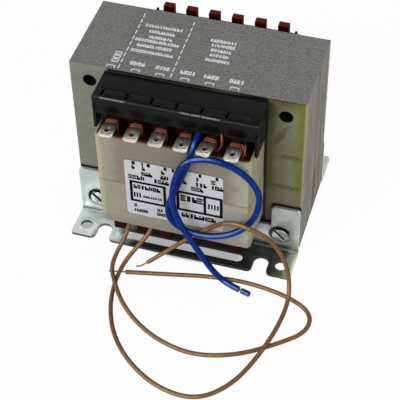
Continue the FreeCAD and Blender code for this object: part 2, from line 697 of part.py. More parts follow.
def add_clamp_screws():
    """Two long slotted screws through the lower core holes, each with a washer and a nut."""
    for number, sign in ((1, "-"), (2, "")):
        centre = (f"{sign}core_hole_x", "screw_z")
        head = cylinder_along_y(f"ScrewHead{number}", "screw_head_diameter", *centre,
                                "-seat_face - screw_head_height", "-seat_face")
        shank = cylinder_along_y(f"ScrewShank{number}", "screw_diameter", *centre, "-seat_face", "screw_end_y")
        slot = new_body(f"ScrewSlot{number}")
        outline = BodySketch(slot, f"ScrewSlot{number}Outline", "XZ_Plane")
        outline.rectangle("side", "-screw_head_diameter", "-screw_slot_width / 2",
                          "screw_head_diameter", "screw_slot_width / 2")
        pad(slot, f"ScrewSlot{number}Pad", outline, "2 * screw_slot_depth")
        slot.Placement = Placement(Vector(), Rotation(Y_AXIS, 1.0))
        bind(slot, {"Placement.Rotation.Angle": "screw_slot_angle", "Placement.Base.x": centre[0],
                    "Placement.Base.y": "-seat_face - screw_head_height", "Placement.Base.z": centre[1]})
        screw = cut(f"ClampScrew{number}", fuse(f"ScrewSolid{number}", [head, shank]), [slot])
        sub_part(screw, f"clamp_screw_{number}")
        washer = cylinder_along_y(f"WasherDisc{number}", "washer_diameter", *centre, "seat_face", "nut_face")
        bore = cylinder_along_y(f"WasherBore{number}", "screw_diameter + 4 * thread_clearance", *centre,
                                "seat_face - washer_thickness", "nut_face + washer_thickness")
        sub_part(cut(f"ClampWasher{number}", washer, [bore]), f"clamp_washer_{number}")
        prism = plain(f"NutPrism{number}", "Part::Prism")
        prism.Polygon = 6
        prism.Placement = Placement(Vector(), Rotation(X_AXIS, -90))
        bind(prism, {"Circumradius": "nut_across_flats / 2 / cos(30)", "Height": "nut_height",
                     "Placement.Base.x": centre[0], "Placement.Base.y": "nut_face", "Placement.Base.z": centre[1]})
        thread = cylinder_along_y(f"NutBore{number}", "screw_diameter + 2 * thread_clearance", *centre,
                                  "nut_face - nut_height", "nut_face + 2 * nut_height")
        sub_part(cut(f"ClampNut{number}", prism, [thread]), f"clamp_nut_{number}")


# Routes of the free leads, from the coil to the cut end.
BLUE_ROUTE = [
    (10.3, -35.0, 77.4), (10.3, -43.6, 77.4), (9.2, -46.6, 72.2), (6.0, -46.6, 60.8),
    (1.2, -46.6, 48.4), (-2.2, -47.4, 37.5), (0.4, -48.4, 30.9), (7.2, -48.9, 27.6),
    (16.5, -48.8, 26.6), (27.0, -47.0, 29.0), (35.2, -46.5, 37.4), (39.2, -46.5, 49.0),
    (38.9, -46.6, 59.2), (33.0, -46.9, 67.4), (24.0, -47.6, 72.8), (13.5, -49.3, 74.4),
    (6.2, -50.0, 69.6), (2.3, -50.1, 57.5), (1.4, -50.8, 46.5), (4.6, -52.0, 35.4),
    (12.6, -52.2, 21.5), (17.4, -51.5, 11.6), (21.4, -50.9, 4.9), (27.2, -51.9, 1.42),
    (32.4, -53.4, 1.42),
]
BROWN_ROUTE_1 = [
    (-22.5, -41.7, 19.8), (-22.5, -41.7, 14.6), (-24.6, -46.2, 8.8), (-26.3, -51.6, 5.4),
    (-26.2, -58.4, 3.7), (-22.4, -65.6, 3.5), (-15.6, -75.4, 2.2), (-5.2, -84.2, 1.0),
    (8.0, -91.0, 1.0), (24.0, -93.9, 1.0), (42.0, -88.4, 1.0), (57.0, -77.6, 1.0),
    (67.0, -68.4, 1.0), (66.8, -57.7, 1.0), (55.0, -51.2, 1.0), (36.0, -47.9, 1.0),
    (17.0, -49.2, 1.0), (-1.5, -53.4, 1.0), (-20.0, -57.1, 1.0),
]
BROWN_ROUTE_2 = [
    (-11.9, -41.7, 19.8), (-11.9, -41.7, 15.4), (-16.2, -46.4, 9.8), (-20.6, -52.2, 5.0),
    (-22.3, -58.8, 2.6), (-22.5, -66.4, 1.0), (-20.0, -78.6, 1.0), (-13.6, -92.6, 1.0),
    (-2.0, -105.4, 1.0), (14.6, -114.8, 1.0), (31.5, -115.8, 1.0), (43.6, -104.6, 1.6),
    (50.6, -88.5, 3.2), (54.8, -70.6, 3.5), (55.8, -56.0, 3.8), (54.2, -48.8, 9.8),
    (51.8, -48.0, 20.5), (45.6, -48.6, 33.0), (36.0, -50.6, 39.6), (26.4, -48.6, 39.0),
    (18.0, -46.3, 31.2), (6.5, -46.0, 19.6), (-3.0, -47.1, 9.8),
    (-9.0, -48.8, 4.4), (-11.8, -50.0, 2.4),
]


def points_of(route):
    """Turn a route into vectors."""
    return [Vector(*place) for place in route]


def corner_arc(before, corner, after):
    """The arc that rounds a corner of a route, with its radius."""
    back = before.sub(corner)
    onward = after.sub(corner)
    turn = math.pi - back.getAngle(onward)
    reach = ARC_SHARE * min(back.Length, onward.Length)
    radius = reach / math.tan(turn / 2)
    start = corner.add(back.normalize().multiply(reach))
    end = corner.add(onward.normalize().multiply(reach))
    inward = start.add(end).multiply(0.5).sub(corner).normalize()
    middle = corner.add(inward.multiply(radius / math.cos(turn / 2) - radius))
    return Part.Arc(start, middle, end), start, end, radius


def lead_path(route):
    """Straight runs joined by tangent arcs, with the smallest radius among them."""
    points = points_of(route)
    edges = []
    radii = []
    at = points[0]
    for before, corner, after in zip(points, points[1:], points[2:]):
        arc, start, end, radius = corner_arc(before, corner, after)
        edges.append(Part.LineSegment(at, start).toShape())
        edges.append(arc.toShape())
        radii.append(radius)
        at = end
    edges.append(Part.LineSegment(at, points[-1]).toShape())
    return Part.Wire(edges), radii


def tube_along(path, diameter, start, direction):
    """Sweep a round section along a path."""
    circle = Part.Circle(start, direction, diameter / 2)
    profile = Part.Wire([circle.toShape()])
    return path.makePipeShell([profile], True, True)


def add_lead(label, route, diameter_name):
    """Add a free lead and print its length and radii."""
    diameter = size(diameter_name)
    path, radii = lead_path(route)
    points = points_of(route)
    tube = tube_along(path, diameter, points[0], points[1].sub(points[0]))
    ideal = math.pi * diameter ** 2 / 4 * path.Length
    rounded = ", ".join(f"{radius:.1f}" for radius in radii)
    print(f"{label}: {path.Length:.1f} mm long, volume over section times length {tube.Volume / ideal:.4f}")
    print(f"{label}: radii in mm {rounded}")
    lead = plain(label.title().replace("_", ""), "Part::Feature")
    lead.Shape = tube
    lead.Placement = Placement()
    return sub_part(lead, label)


def end_direction(route):
    """The direction in which a route ends."""
    points = points_of(route)
    return points[-1].sub(points[-2]).normalize()


def add_lead_end(label, route, diameter_name, offset, length):
    """Add a short straight piece on a lead's end, in line with its last run."""
    direction = end_direction(route)
    start = points_of(route)[-1].add(Vector(direction).multiply(offset))
    piece = plain(label.title().replace("_", ""), "Part::Feature")
    piece.Shape = Part.makeCylinder(size(diameter_name) / 2, length, start, direction)
    piece.Placement = Placement()
    return sub_part(piece, label)


def add_leads():
    """The blue lead with a slug of insulation left on its bare end, and two brown leads."""
    add_lead("blue_lead", BLUE_ROUTE, "blue_lead_diameter")
    add_lead_end("blue_lead_strands", BLUE_ROUTE, "blue_strand_diameter", 0.0, size("blue_bare_length"))
    add_lead_end("blue_lead_slug", BLUE_ROUTE, "blue_lead_diameter", size("blue_bare_length"), size("slug_length"))
    for number, route in ((1, BROWN_ROUTE_1), (2, BROWN_ROUTE_2)):
        add_lead(f"brown_lead_{number}", route, "brown_lead_diameter")
        bare_length = size(f"brown_{number}_bare_length")
        add_lead_end(f"brown_lead_{number}_strands", route, "brown_strand_diameter", 0.0, bare_length)


def check_document():
    """Stop if any object failed or any sub-part has no sound shape."""
    for item in DOCUMENT.Objects:
        if "Invalid" in item.State or "Error" in item.State:
            raise RuntimeError(f"{item.Name} failed: {item.State}")
    for item in SUB_PARTS:
        if item.Shape.isNull() or not item.Shape.isValid():
            raise RuntimeError(f"{item.Label} has no valid shape")


def write_sub_parts():
    """Write each sub-part to its own file."""
    os.makedirs("parts", exist_ok=True)
    for item in SUB_PARTS:
        item.Shape.exportStep(f"parts/{item.Label}.step")


add_lamination_packets()
add_coil_former()
add_windings()
add_label()
add_terminal_cover()
add_terminal_tabs()
add_lead_out_wires()
add_bracket("front_bracket", 0.0)
add_bracket("rear_bracket", 180.0)
add_clamp_screws()
add_leads()
DOCUMENT.recompute()
check_document()
write_sub_parts()
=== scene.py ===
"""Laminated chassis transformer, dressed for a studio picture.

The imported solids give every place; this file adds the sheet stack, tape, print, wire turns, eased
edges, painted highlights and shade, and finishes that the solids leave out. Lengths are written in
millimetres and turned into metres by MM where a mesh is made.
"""
import logging
import math
import random
from dataclasses import dataclass, field
from enum import Enum
from typing import ClassVar, Iterable, Sequence

import bmesh
import bpy
from bpy.types import ID, Curve, Material, Mesh, Node, NodeSocket, NodeTree, Object
from mathutils import Matrix, Vector, noise


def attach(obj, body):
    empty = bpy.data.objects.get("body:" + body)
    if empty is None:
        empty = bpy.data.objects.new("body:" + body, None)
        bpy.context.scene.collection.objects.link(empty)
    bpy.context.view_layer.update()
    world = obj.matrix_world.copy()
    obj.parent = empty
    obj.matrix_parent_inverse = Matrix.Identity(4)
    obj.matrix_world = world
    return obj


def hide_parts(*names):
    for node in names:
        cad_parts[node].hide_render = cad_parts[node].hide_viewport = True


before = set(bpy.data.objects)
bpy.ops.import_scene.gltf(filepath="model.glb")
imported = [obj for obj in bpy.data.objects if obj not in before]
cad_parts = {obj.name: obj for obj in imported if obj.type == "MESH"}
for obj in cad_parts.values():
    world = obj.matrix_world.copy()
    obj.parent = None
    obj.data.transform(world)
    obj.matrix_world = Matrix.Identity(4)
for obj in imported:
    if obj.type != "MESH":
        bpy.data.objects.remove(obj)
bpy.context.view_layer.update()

LOG = logging.getLogger("transformer")
# A millimetre, and how near points of a solid are merged, both in metres.
MM = 0.001
MERGE = 2e-6
# Where the clamp screws and the core's lower holes are on both sides, in millimetres.
SCREW_X = 43.75
SCREW_Z = 10.75
Pair = tuple[float, float]
Point = tuple[float, float, float]
Colour = tuple[float, float, float]


def srgb(red: int, green: int, blue: int) -> Colour:
    """Turn a colour as it is seen, 0 to 255, into the linear values that a shader takes.

    Args:
        red: Red as seen.
        green: Green as seen.
        blue: Blue as seen.

    Returns:
        The linear colour.
    """
    def linear(value: float) -> float:
        """One channel."""
        share = value / 255.0
        return share / 12.92 if share <= 0.04045 else ((share + 0.055) / 1.055) ** 2.4
    return linear(red), linear(green), linear(blue)


# Node trees
class Wire:
    """A shader socket that takes part in Python expressions."""

    def __init__(self, shader: "Shader", socket: NodeSocket) -> None:
        """Keep the tree and the socket together."""
        self.shader = shader
        self.socket = socket

    def __add__(self, other: object) -> "Wire":
        """Sum."""
        return self.shader.maths("ADD", self, other)

    __radd__ = __add__

    def __mul__(self, other: object) -> "Wire":
        """Product."""
        return self.shader.maths("MULTIPLY", self, other)

    __rmul__ = __mul__

    def __sub__(self, other: object) -> "Wire":
        """Difference."""
        return self.shader.maths("SUBTRACT", self, other)

    def __rsub__(self, other: object) -> "Wire":
        """Difference with the number first."""
        return self.shader.maths("SUBTRACT", other, self)

    def __truediv__(self, other: object) -> "Wire":
        """Quotient."""
        return self.shader.maths("DIVIDE", self, other)

    def __abs__(self) -> "Wire":
        """Size without sign."""
        return self.shader.maths("ABSOLUTE", self)


class Tree:
    """A node tree whose nodes all come from one method."""

    def __init__(self, tree: NodeTree) -> None:
        """Take over a tree and empty it."""
        self.tree = tree
        self.tree.nodes.clear()

    def node(self, kind: str, settings: dict | None = None, inputs: dict | None = None) -> Node:
        """Add a node.

        Args:
            kind: The node's type.
            settings: Properties, set first.
            inputs: Values, sockets or wires by socket name or number.

        Returns:
            The new node.
        """
        made = self.tree.nodes.new(kind)
        for name, value in (settings or {}).items():
            setattr(made, name, value)
        for name, value in (inputs or {}).items():
            self.feed(made.inputs[name], value)
        return made

    def feed(self, socket: NodeSocket, value: object) -> None:
        """Link a socket or a wire to an input, or set a plain value on it.

        Args:
            socket: The input to fill.
            value: A number, a colour, a vector, a name, a socket or a wire.
        """
        if isinstance(value, Wire):
            value = value.socket
        if isinstance(value, NodeSocket):
            self.tree.links.new(value, socket)
        elif socket.type == "RGBA":
            socket.default_value = (*value, 1.0)
        else:
            socket.default_value = value


class Shader(Tree):
    """The nodes of a material or of the surroundings, with maths on their values."""

    def __init__(self, name: str, world: bool = False) -> None:
        """Start an empty tree.

        Args:
            name: The name of the material or the surroundings.
            world: Whether it is for the surroundings.
        """
        self.owner = (bpy.data.worlds if world else bpy.data.materials).new(name)
        self.owner.use_nodes = True
        super().__init__(self.owner.node_tree)

    def wire(self, kind: str, settings: dict | None = None, inputs: dict | None = None,
             output: int | str = 0) -> Wire:
        """Add a node and take one of its results.

        Args:
            kind: The node's type.
            settings: Properties, set first.
            inputs: Values, sockets or wires by socket name or number.
            output: The result's name or number.

        Returns:
            The result.
        """
        return Wire(self, self.node(kind, settings, inputs).outputs[output])

    def maths(self, operation: str, first: object, second: object = 0.0) -> Wire:
        """Add a Math node."""
        return self.wire("ShaderNodeMath", {"operation": operation}, {0: first, 1: second})

    def place(self) -> Wire:
        """The point on the piece, in millimetres."""
        where = self.wire("ShaderNodeTexCoord", output="Object")
        return self.wire("ShaderNodeVectorMath", {"operation": "SCALE"}, {0: where, "Scale": 1.0 / MM})

    def parts(self, vector: Wire) -> tuple[Wire, Wire, Wire]:
        """A vector's three numbers."""
        made = self.node("ShaderNodeSeparateXYZ", None, {0: vector})
        return Wire(self, made.outputs[0]), Wire(self, made.outputs[1]), Wire(self, made.outputs[2])

    def normal(self) -> tuple[Wire, Wire, Wire]:
        """The three numbers of the direction that the surface faces."""
        return self.parts(self.wire("ShaderNodeNewGeometry", output="Normal"))

    def stretched(self, vector: Wire, scale: Point) -> Wire:
        """A vector with each axis scaled by itself."""
        return self.wire("ShaderNodeVectorMath", {"operation": "MULTIPLY"}, {0: vector, 1: scale})

    def noise(self, vector: Wire, scale: float, detail: float = 3.0, roughness: float = 0.55) -> Wire:
        """Soft noise from 0 to 1, with its scale per millimetre and its layers of finer noise."""
        return self.wire("ShaderNodeTexNoise", {"noise_dimensions": "3D"},
                         {"Vector": vector, "Scale": scale, "Detail": detail, "Roughness": roughness})

    def cells(self, vector: Wire, scale: float) -> Wire:
        """Distance to the nearest of scattered points."""
        return self.wire("ShaderNodeTexVoronoi", {"feature": "F1"}, {"Vector": vector, "Scale": scale},
                         "Distance")

    def spread(self, run: Wire, rise: Wire) -> Wire:
        """How far a point is from a centre, from its two distances along the axes."""
        return self.maths("SQRT", run * run + rise * rise)

    def step(self, value: object, low: float, high: float) -> Wire:
        """A smooth step from 0 at low to 1 at high; low may be the larger."""
        return self.wire("ShaderNodeMapRange", {"interpolation_type": "SMOOTHSTEP"},
                         {"Value": value, "From Min": low, "From Max": high})

    def blend(self, share: object, first: object, second: object) -> Wire:
        """Mix two colours: the first where the share is 0, the second where it is 1."""
        return self.wire("ShaderNodeMix", {"data_type": "RGBA"}, {0: share, 6: first, 7: second}, 2)

    def bump(self, height: Wire, distance: float, strength: float) -> Wire:
        """A normal that follows a height, with its depth in millimetres and its strength from 0 to 1."""
        return self.wire("ShaderNodeBump", None,
                         {"Height": height, "Distance": distance * MM, "Strength": strength})

    def finish(self, **sockets: object) -> Material:
        """Close the tree with a Principled shader.

        Args:
            **sockets: Values by socket name, with _ for a space.

        Returns:
            The material.
        """
        inputs = {name.replace("_", " "): value for name, value in sockets.items()}
        surface = self.node("ShaderNodeBsdfPrincipled", None, inputs)
        self.node("ShaderNodeOutputMaterial", None, {"Surface": surface.outputs["BSDF"]})
        return self.owner


# Finishes
@dataclass(frozen=True)
class LaminationSteel:
    """Varnished core sheets: speckled on their cut edges, smooth and stained on their flat faces."""

    top: Colour = srgb(116, 116, 112)
    top_light: Colour = srgb(146, 146, 142)
    top_dark: Colour = srgb(84, 84, 79)
    side: Colour = srgb(118, 115, 105)
    side_rim: Colour = srgb(160, 156, 143)
    side_dark: Colour = srgb(76, 73, 65)
    left: Colour = srgb(126, 128, 114)
    left_cloud: Colour = srgb(138, 141, 128)
    right: Colour = srgb(116, 118, 84)
    soaked: Colour = srgb(74, 73, 30)
    mottle: Colour = srgb(44, 46, 22)
    olive: Colour = srgb(112, 110, 24)
    stain: Colour = srgb(74, 72, 36)
    # Painted highlight along the outer edge of the right leg's face.
    rim: Colour = srgb(172, 168, 136)
    # Near-black painted shade for the hole walls and the gaps beside the coil, behind the brackets and over
    # the cover.
    painted_shade: Colour = srgb(12, 12, 10)
    hole_heights: Pair = (SCREW_Z, 80.75)
    hole_radius: float = 2.9
    ear_shadow: float = 28.0
    ear_side: Pair = (38.4, 39.1)
    wall_shadow: float = 16.0
    gap_shadow: float = 35.9
    # Top and half width of the cover's painted shadow on the core.
    cover_shadow_top: float = 88.1
    cover_shadow_reach: float = 35.0
    paler_front: Pair = (-12.0, -21.0)
    right_leg: Pair = (10.0, 30.0)
    soaked_band: Pair = (41.5, 36.5)
    olive_band: Pair = (46.0, 51.0)
    olive_top: Pair = (78.0, 88.0)
    patch_middle: float = 36.0
    patch_top: Pair = (74.0, 85.0)
    plain_foot: Pair = (38.0, 33.0)
    upper_edge: Pair = (88.8, 89.2)
    outer_edge: Pair = (51.6, 52.2)
    stains: tuple[tuple[float, float, float, Pair, Pair], ...] = (
        (0.5, 0.55, 0.6, (41.75, 69.5), (2.4, 7.5)),
        (0.0, 1.0, 0.35, (46.5, 57.6), (7.0, 1.6)),
        (0.0, 1.0, 0.22, (44.5, 39.4), (10.0, 1.8)))

    def material(self) -> Material:
        """Build the material.

        Returns:
            The finished material.
        """
        shader = Shader("lamination_steel")
        place = shader.place()
        across, depth, height = shader.parts(place)
        facing_x, facing_y, _ = shader.normal()
        flat_share = shader.step(abs(facing_y), 0.45, 0.7)
        side_share = shader.step(abs(facing_x), 0.45, 0.7)
        speck = shader.noise(place, 0.85, 4.0, 0.8)
        streak = shader.noise(shader.stretched(place, (0.06, 1.3, 0.06)), 1.0, 3.0)
        top = self._top(shader, speck, streak)
        side = self._side(shader, place, depth, speck)
        flat = self._flat(shader, place, across, height, speck)
        colour = shader.blend(flat_share, shader.blend(side_share, top, side), flat)
        colour = shader.blend(self._in_hole(shader, across, height), colour, self.painted_shade)
        rough = 0.55 + (speck - 0.5) * 0.3 + flat_share * -0.08
        relief = streak * (1.0 - flat_share) + speck * 0.8
        return shader.finish(Base_Color=colour, Metallic=0.15, Roughness=rough, Specular_IOR_Level=0.25,
                             Normal=shader.bump(relief, 0.06, 0.8))

    def _top(self, shader: Shader, speck: Wire, streak: Wire) -> Wire:
        """The sheets' upper edges: fine speckle with faint lines along them.

        Args:
            shader: The material's tree.
            speck: Fine speckle from 0 to 1.
            streak: Lines along the sheets, from 0 to 1.

        Returns:
            The colour.
        """
        colour = shader.blend(shader.step(speck, 0.5, 0.68), self.top, self.top_light)
        colour = shader.blend(shader.step(speck, 0.5, 0.32), colour, self.top_dark)
        colour = shader.blend(shader.step(streak, 0.52, 0.8) * 0.3, colour, self.top_light)
        return shader.blend(shader.step(streak, 0.46, 0.2) * 0.4, colour, self.top_dark)

    def _side(self, shader: Shader, place: Wire, depth: Wire, speck: Wire) -> Wire:
        """The sheets' upright edges: streaks down them, paler towards the front.

        Args:
            shader: The material's tree.
            place: The point on the piece, in millimetres.
            depth: The point's Y, in millimetres.
            speck: Fine speckle from 0 to 1.

        Returns:
            The colour.
        """
        lines = shader.noise(shader.stretched(place, (0.05, 0.85, 0.016)), 1.0, 3.0, 0.7)
        front = shader.step(depth, *self.paler_front)
        colour = shader.blend(front * 0.6, self.side, self.side_rim)
        colour = shader.blend(shader.step(lines, 0.5, 0.62) * 0.85, colour, self.side_rim)
        colour = shader.blend(shader.step(lines, 0.5, 0.38) * 0.85, colour, self.side_dark)
        return shader.blend(shader.step(speck, 0.48, 0.25) * 0.35, colour, self.side_dark)

    def _flat(self, shader: Shader, place: Wire, across: Wire, height: Wire, speck: Wire) -> Wire:
        """The outer sheets' faces: plain on the left leg, soaked and stained on the right one, with painted
        shade in the gaps and a painted highlight at the outer edge.

        Args:
            shader: The material's tree.
            place: The point on the piece, in millimetres.
            across: The point's X, in millimetres.
            height: The height above the floor, in millimetres.
            speck: Fine speckle from 0 to 1.

        Returns:
            The colour.
        """
        cloud = shader.noise(place, 0.09, 3.0)
        ragged = (shader.noise(place, 0.22, 4.0, 0.65) - 0.5) * 9.0
        left = shader.blend(shader.step(cloud, 0.35, 0.7) * 0.7, self.left, self.left_cloud)
        right = shader.blend(shader.step(cloud, 0.62, 0.38) * 0.45, self.right, self.left_cloud)
        uneven = across + ragged * 0.35
        right = shader.blend(shader.step(uneven, *self.soaked_band) * 0.85, right, self.soaked)
        right = shader.blend(shader.step(uneven, *self.olive_band) * 0.8, right, self.olive)
        right = shader.blend(shader.step(height + ragged * 0.6, *self.olive_top) * 0.5, right, self.olive)
        # A darker mottled patch high on the right leg, next to the cover's end.
        dark_patch = shader.step(height - abs(across - self.patch_middle) * 0.8 + ragged * 1.1, *self.patch_top)
        right = shader.blend(dark_patch * shader.step(speck + cloud, 0.75, 1.05) * 0.85, right, self.mottle)
        marks = self._stained(shader, across, height, ragged)
        right = shader.blend(marks * shader.step(speck, 0.2, 0.6) * 0.75, right, self.stain)
        right = shader.blend(shader.step(height, *self.plain_foot) * 0.45, right, self.side)
        # Painted shade: a thin near-black line just under the right leg's top edge.
        right = shader.blend(shader.step(height + ragged * 0.03, *self.upper_edge) * 0.75, right, self.painted_shade)
        # Painted shadow in the gap between the coil and the right leg.
        beside = shader.step(across + ragged * 0.06, self.gap_shadow + 0.35, self.gap_shadow - 0.15)
        right = shader.blend(beside * 0.88, right, self.painted_shade)
        # Painted highlight along the outer edge.
        right = shader.blend(shader.step(across, *self.outer_edge) * 0.7, right, self.rim)
        flat = shader.blend(shader.step(across, *self.right_leg), left, right)
        flat = shader.blend(shader.step(speck, 0.48, 0.3) * 0.35, flat, self.side_dark)
        # Painted shadow of the terminal cover: a near-black band just over the cover's top, fading to the
        # right; it is painted on the rear face too.
        above = shader.step(height, self.cover_shadow_top - 0.2, self.cover_shadow_top + 0.1)
        above = above * shader.step(abs(across), self.cover_shadow_reach + 0.3, self.cover_shadow_reach - 0.3)
        above = above * (0.95 - shader.step(across, 6.0, 26.0) * 0.6)
        flat = shader.blend(above, flat, self.painted_shade)
        behind_ear = shader.step(height, self.ear_shadow + 0.3, self.ear_shadow - 0.2)
        behind_ear = behind_ear * shader.step(abs(across), *self.ear_side)
        behind_wall = shader.step(height, self.wall_shadow + 0.3, self.wall_shadow - 0.2)
        shade = shader.maths("MAXIMUM", behind_ear, behind_wall)
        return shader.blend(shade * 0.95, flat, self.painted_shade)

    def _stained(self, shader: Shader, across: Wire, height: Wire, ragged: Wire) -> Wire:
        """The larger stains, as soft ragged ovals.

        Args:
            shader: The material's tree.
            across: The point's X, in millimetres.
            height: The height above the floor, in millimetres.
            ragged: What makes their outlines uneven, in millimetres.

        Returns:
            1 on a stain and 0 elsewhere.
        """
        total: object = 0.0
        for lean, ragged_run, ragged_rise, centre, reach in self.stains:
            run = (across - (height - centre[1]) * lean + ragged * ragged_run - centre[0]) / reach[0]
            rise = (height + ragged * ragged_rise - centre[1]) / reach[1]
            total = shader.step(run * run + rise * rise, 1.0, 0.25) + total
        return total

    def _in_hole(self, shader: Shader, across: Wire, height: Wire) -> Wire:
        """The unlit walls of the four holes.

        Args:
            shader: The material's tree.
            across: The point's X, in millimetres.
            height: The height above the floor, in millimetres.

        Returns:
            1 in a hole and 0 elsewhere.
        """
        run = abs(across) - SCREW_X
        total: object = 0.0
        for level in self.hole_heights:
            rise = height - level
            total = shader.step(run * run + rise * rise, (self.hole_radius + 0.35) ** 2,
                                (self.hole_radius + 0.1) ** 2) + total
        return total


@dataclass(frozen=True)
class MouldedPlastic:
    """Moulded plastic with a fine matt skin, and painted shade where it faces down."""

    name: str
    light: Colour
    shaded_side: Colour
    roughness: float

    def material(self) -> Material:
        """Build the material.

        Returns:
            The finished material.
        """
        shader = Shader(self.name)
        place = shader.place()
        cloud = shader.noise(place, 0.22, 3.0)
        grain = shader.noise(place, 5.0, 2.0)
        _, _, facing_z = shader.normal()
        # Painted light: lit where the surface faces up, painted shade where it faces down.
        colour = shader.blend(shader.step(facing_z, 0.0, 0.9) * (0.6 + cloud * 0.5), self.shaded_side, self.light)
        rough = self.roughness + (grain - 0.5) * 0.16
        return shader.finish(Base_Color=colour, Roughness=rough, Specular_IOR_Level=0.3,
                             Normal=shader.bump(grain, 0.03, 0.6))


@dataclass(frozen=True)
class FormerPlastic:
    """Red-brown moulding with painted light: lit post tops and shaded sides, painted shade on the floors
    between the posts and on the posts under the coil, and a paler band at the floors' front edge.
    """

    # Painted light: the lit colour of upward faces, and the painted shade of the sides and downward faces.
    top: Colour = srgb(112, 36, 22)
    shaded_side: Colour = srgb(36, 4, 3)
    # Painted shade on the flange floor between the posts.
    floor: Colour = srgb(35, 8, 5)
    # Painted shade on the posts under the coil.
    under: Colour = srgb(42, 4, 3)
    coil_low: float = 19.8
    # A paler band along the front edge of the flange floor.
    paler_band: Colour = srgb(104, 58, 36)
    flange_height: float = 73.2
    front_rim: Pair = (-41.6, -43.0)

    def material(self) -> Material:
        """Build the material.

        Returns:
            The finished material.
        """
        shader = Shader("former_plastic")
        place = shader.place()
        _, depth, height = shader.parts(place)
        cloud = shader.noise(place, 0.22, 3.0)
        grain = shader.noise(place, 5.0, 2.0)
        _, _, facing_z = shader.normal()
        # Painted light: lit tops, shaded sides.
        colour = shader.blend(shader.step(facing_z, 0.0, 0.9) * (0.6 + cloud * 0.5), self.shaded_side, self.top)
        # Painted shade on the flange floor between the posts.
        low = shader.step(height, self.flange_height + 0.6, self.flange_height)
        colour = shader.blend(low * 0.92, colour, self.floor)
        # A paler band along the floor's front edge.
        rim = low * shader.step(depth + (cloud - 0.5) * 3.0, *self.front_rim)
        rim = rim * shader.step(height, self.flange_height - 4.0, self.flange_height - 3.0)
        colour = shader.blend(rim * 0.55, colour, self.paler_band)
        # Painted shade on the posts under the coil.
        under_coil_shade = shader.step(height, self.coil_low + 0.5, self.coil_low - 0.5)
        colour = shader.blend(under_coil_shade * 0.9, colour, self.under)
        rough = 0.4 + (grain - 0.5) * 0.16
        return shader.finish(Base_Color=colour, Roughness=rough, Specular_IOR_Level=0.014,
                             Normal=shader.bump(grain, 0.03, 0.6))


@dataclass(frozen=True)
class CoverPlastic:
    """Satin black plastic: shallow scallops over the tabs with painted shade in them, and a painted highlight
    along the front edge.
    """

    black: Colour = srgb(15, 15, 15)
    face: Colour = srgb(26, 26, 26)
    # Painted shade in the scallops.
    scallop: Colour = srgb(0, 0, 0)
    haze: Colour = srgb(21, 21, 20)
    # Painted highlight along the front top edge.
    edge_highlight: Colour = srgb(150, 148, 146)
    scallop_height: float = 82.6
    scallop_reach: Pair = (4.9, 2.6)
    tab_pitch: float = 10.9
    edge_y: float = -39.3
    edge_z: float = 88.2
    # Centres and half lengths of the brightest streaks of that painted highlight.
    streaks: tuple[Pair, ...] = ((-27.0, 6.5), (11.0, 9.5))

    def material(self) -> Material:
        """Build the material.

        Returns:
            The finished material.
        """
        shader = Shader("cover_plastic")
        place = shader.place()
        across, depth, height = shader.parts(place)
        cloud = shader.noise(place, 0.12, 4.0, 0.6)
        grain = shader.noise(place, 4.0, 2.0)
        _, facing_y, _ = shader.normal()
        front = shader.step(facing_y, -0.5, -0.8)
        along = shader.maths("PINGPONG", across, self.tab_pitch / 2)
        run = (self.tab_pitch / 2 - along) / self.scallop_reach[0]
        rise = (height - self.scallop_height) / self.scallop_reach[1]
        oval = run * run + rise * rise
        # Painted shade in the shallow scallops over the tabs; the bump sinks them too.
        painted_shade = front * shader.step(oval + (cloud - 0.5) * 1.6, 1.1, 0.1)
        colour = shader.blend(shader.step(cloud, 0.42, 0.72) * 0.6, self.black, self.haze)
        colour = shader.blend(front * 0.8, colour, self.face)
        colour = shader.blend(painted_shade * 0.9, colour, self.scallop)
        # Painted highlight along the front top edge, faint all along and brighter in broken streaks.
        near = shader.step(depth, self.edge_y + 0.75, self.edge_y + 0.3)
        near = near * shader.step(height, self.edge_z - 0.75, self.edge_z - 0.3)
        broken = shader.step(shader.noise(shader.stretched(place, (0.9, 0.0, 0.0)), 1.0, 3.0), 0.36, 0.52)
        highlight_share = near * 0.1
        for centre, reach in self.streaks:
            highlight_share = highlight_share + near * broken * shader.step(abs(across - centre), reach, reach - 2.0) * 0.65
        colour = shader.blend(highlight_share, colour, self.edge_highlight)
        rough = 0.34 + (grain - 0.5) * 0.14 + (cloud - 0.5) * 0.2
        relief = grain * 0.15 - painted_shade * 0.6
        return shader.finish(Base_Color=colour, Roughness=rough, Specular_IOR_Level=0.055,
                             Normal=shader.bump(relief, 0.12, 0.8))


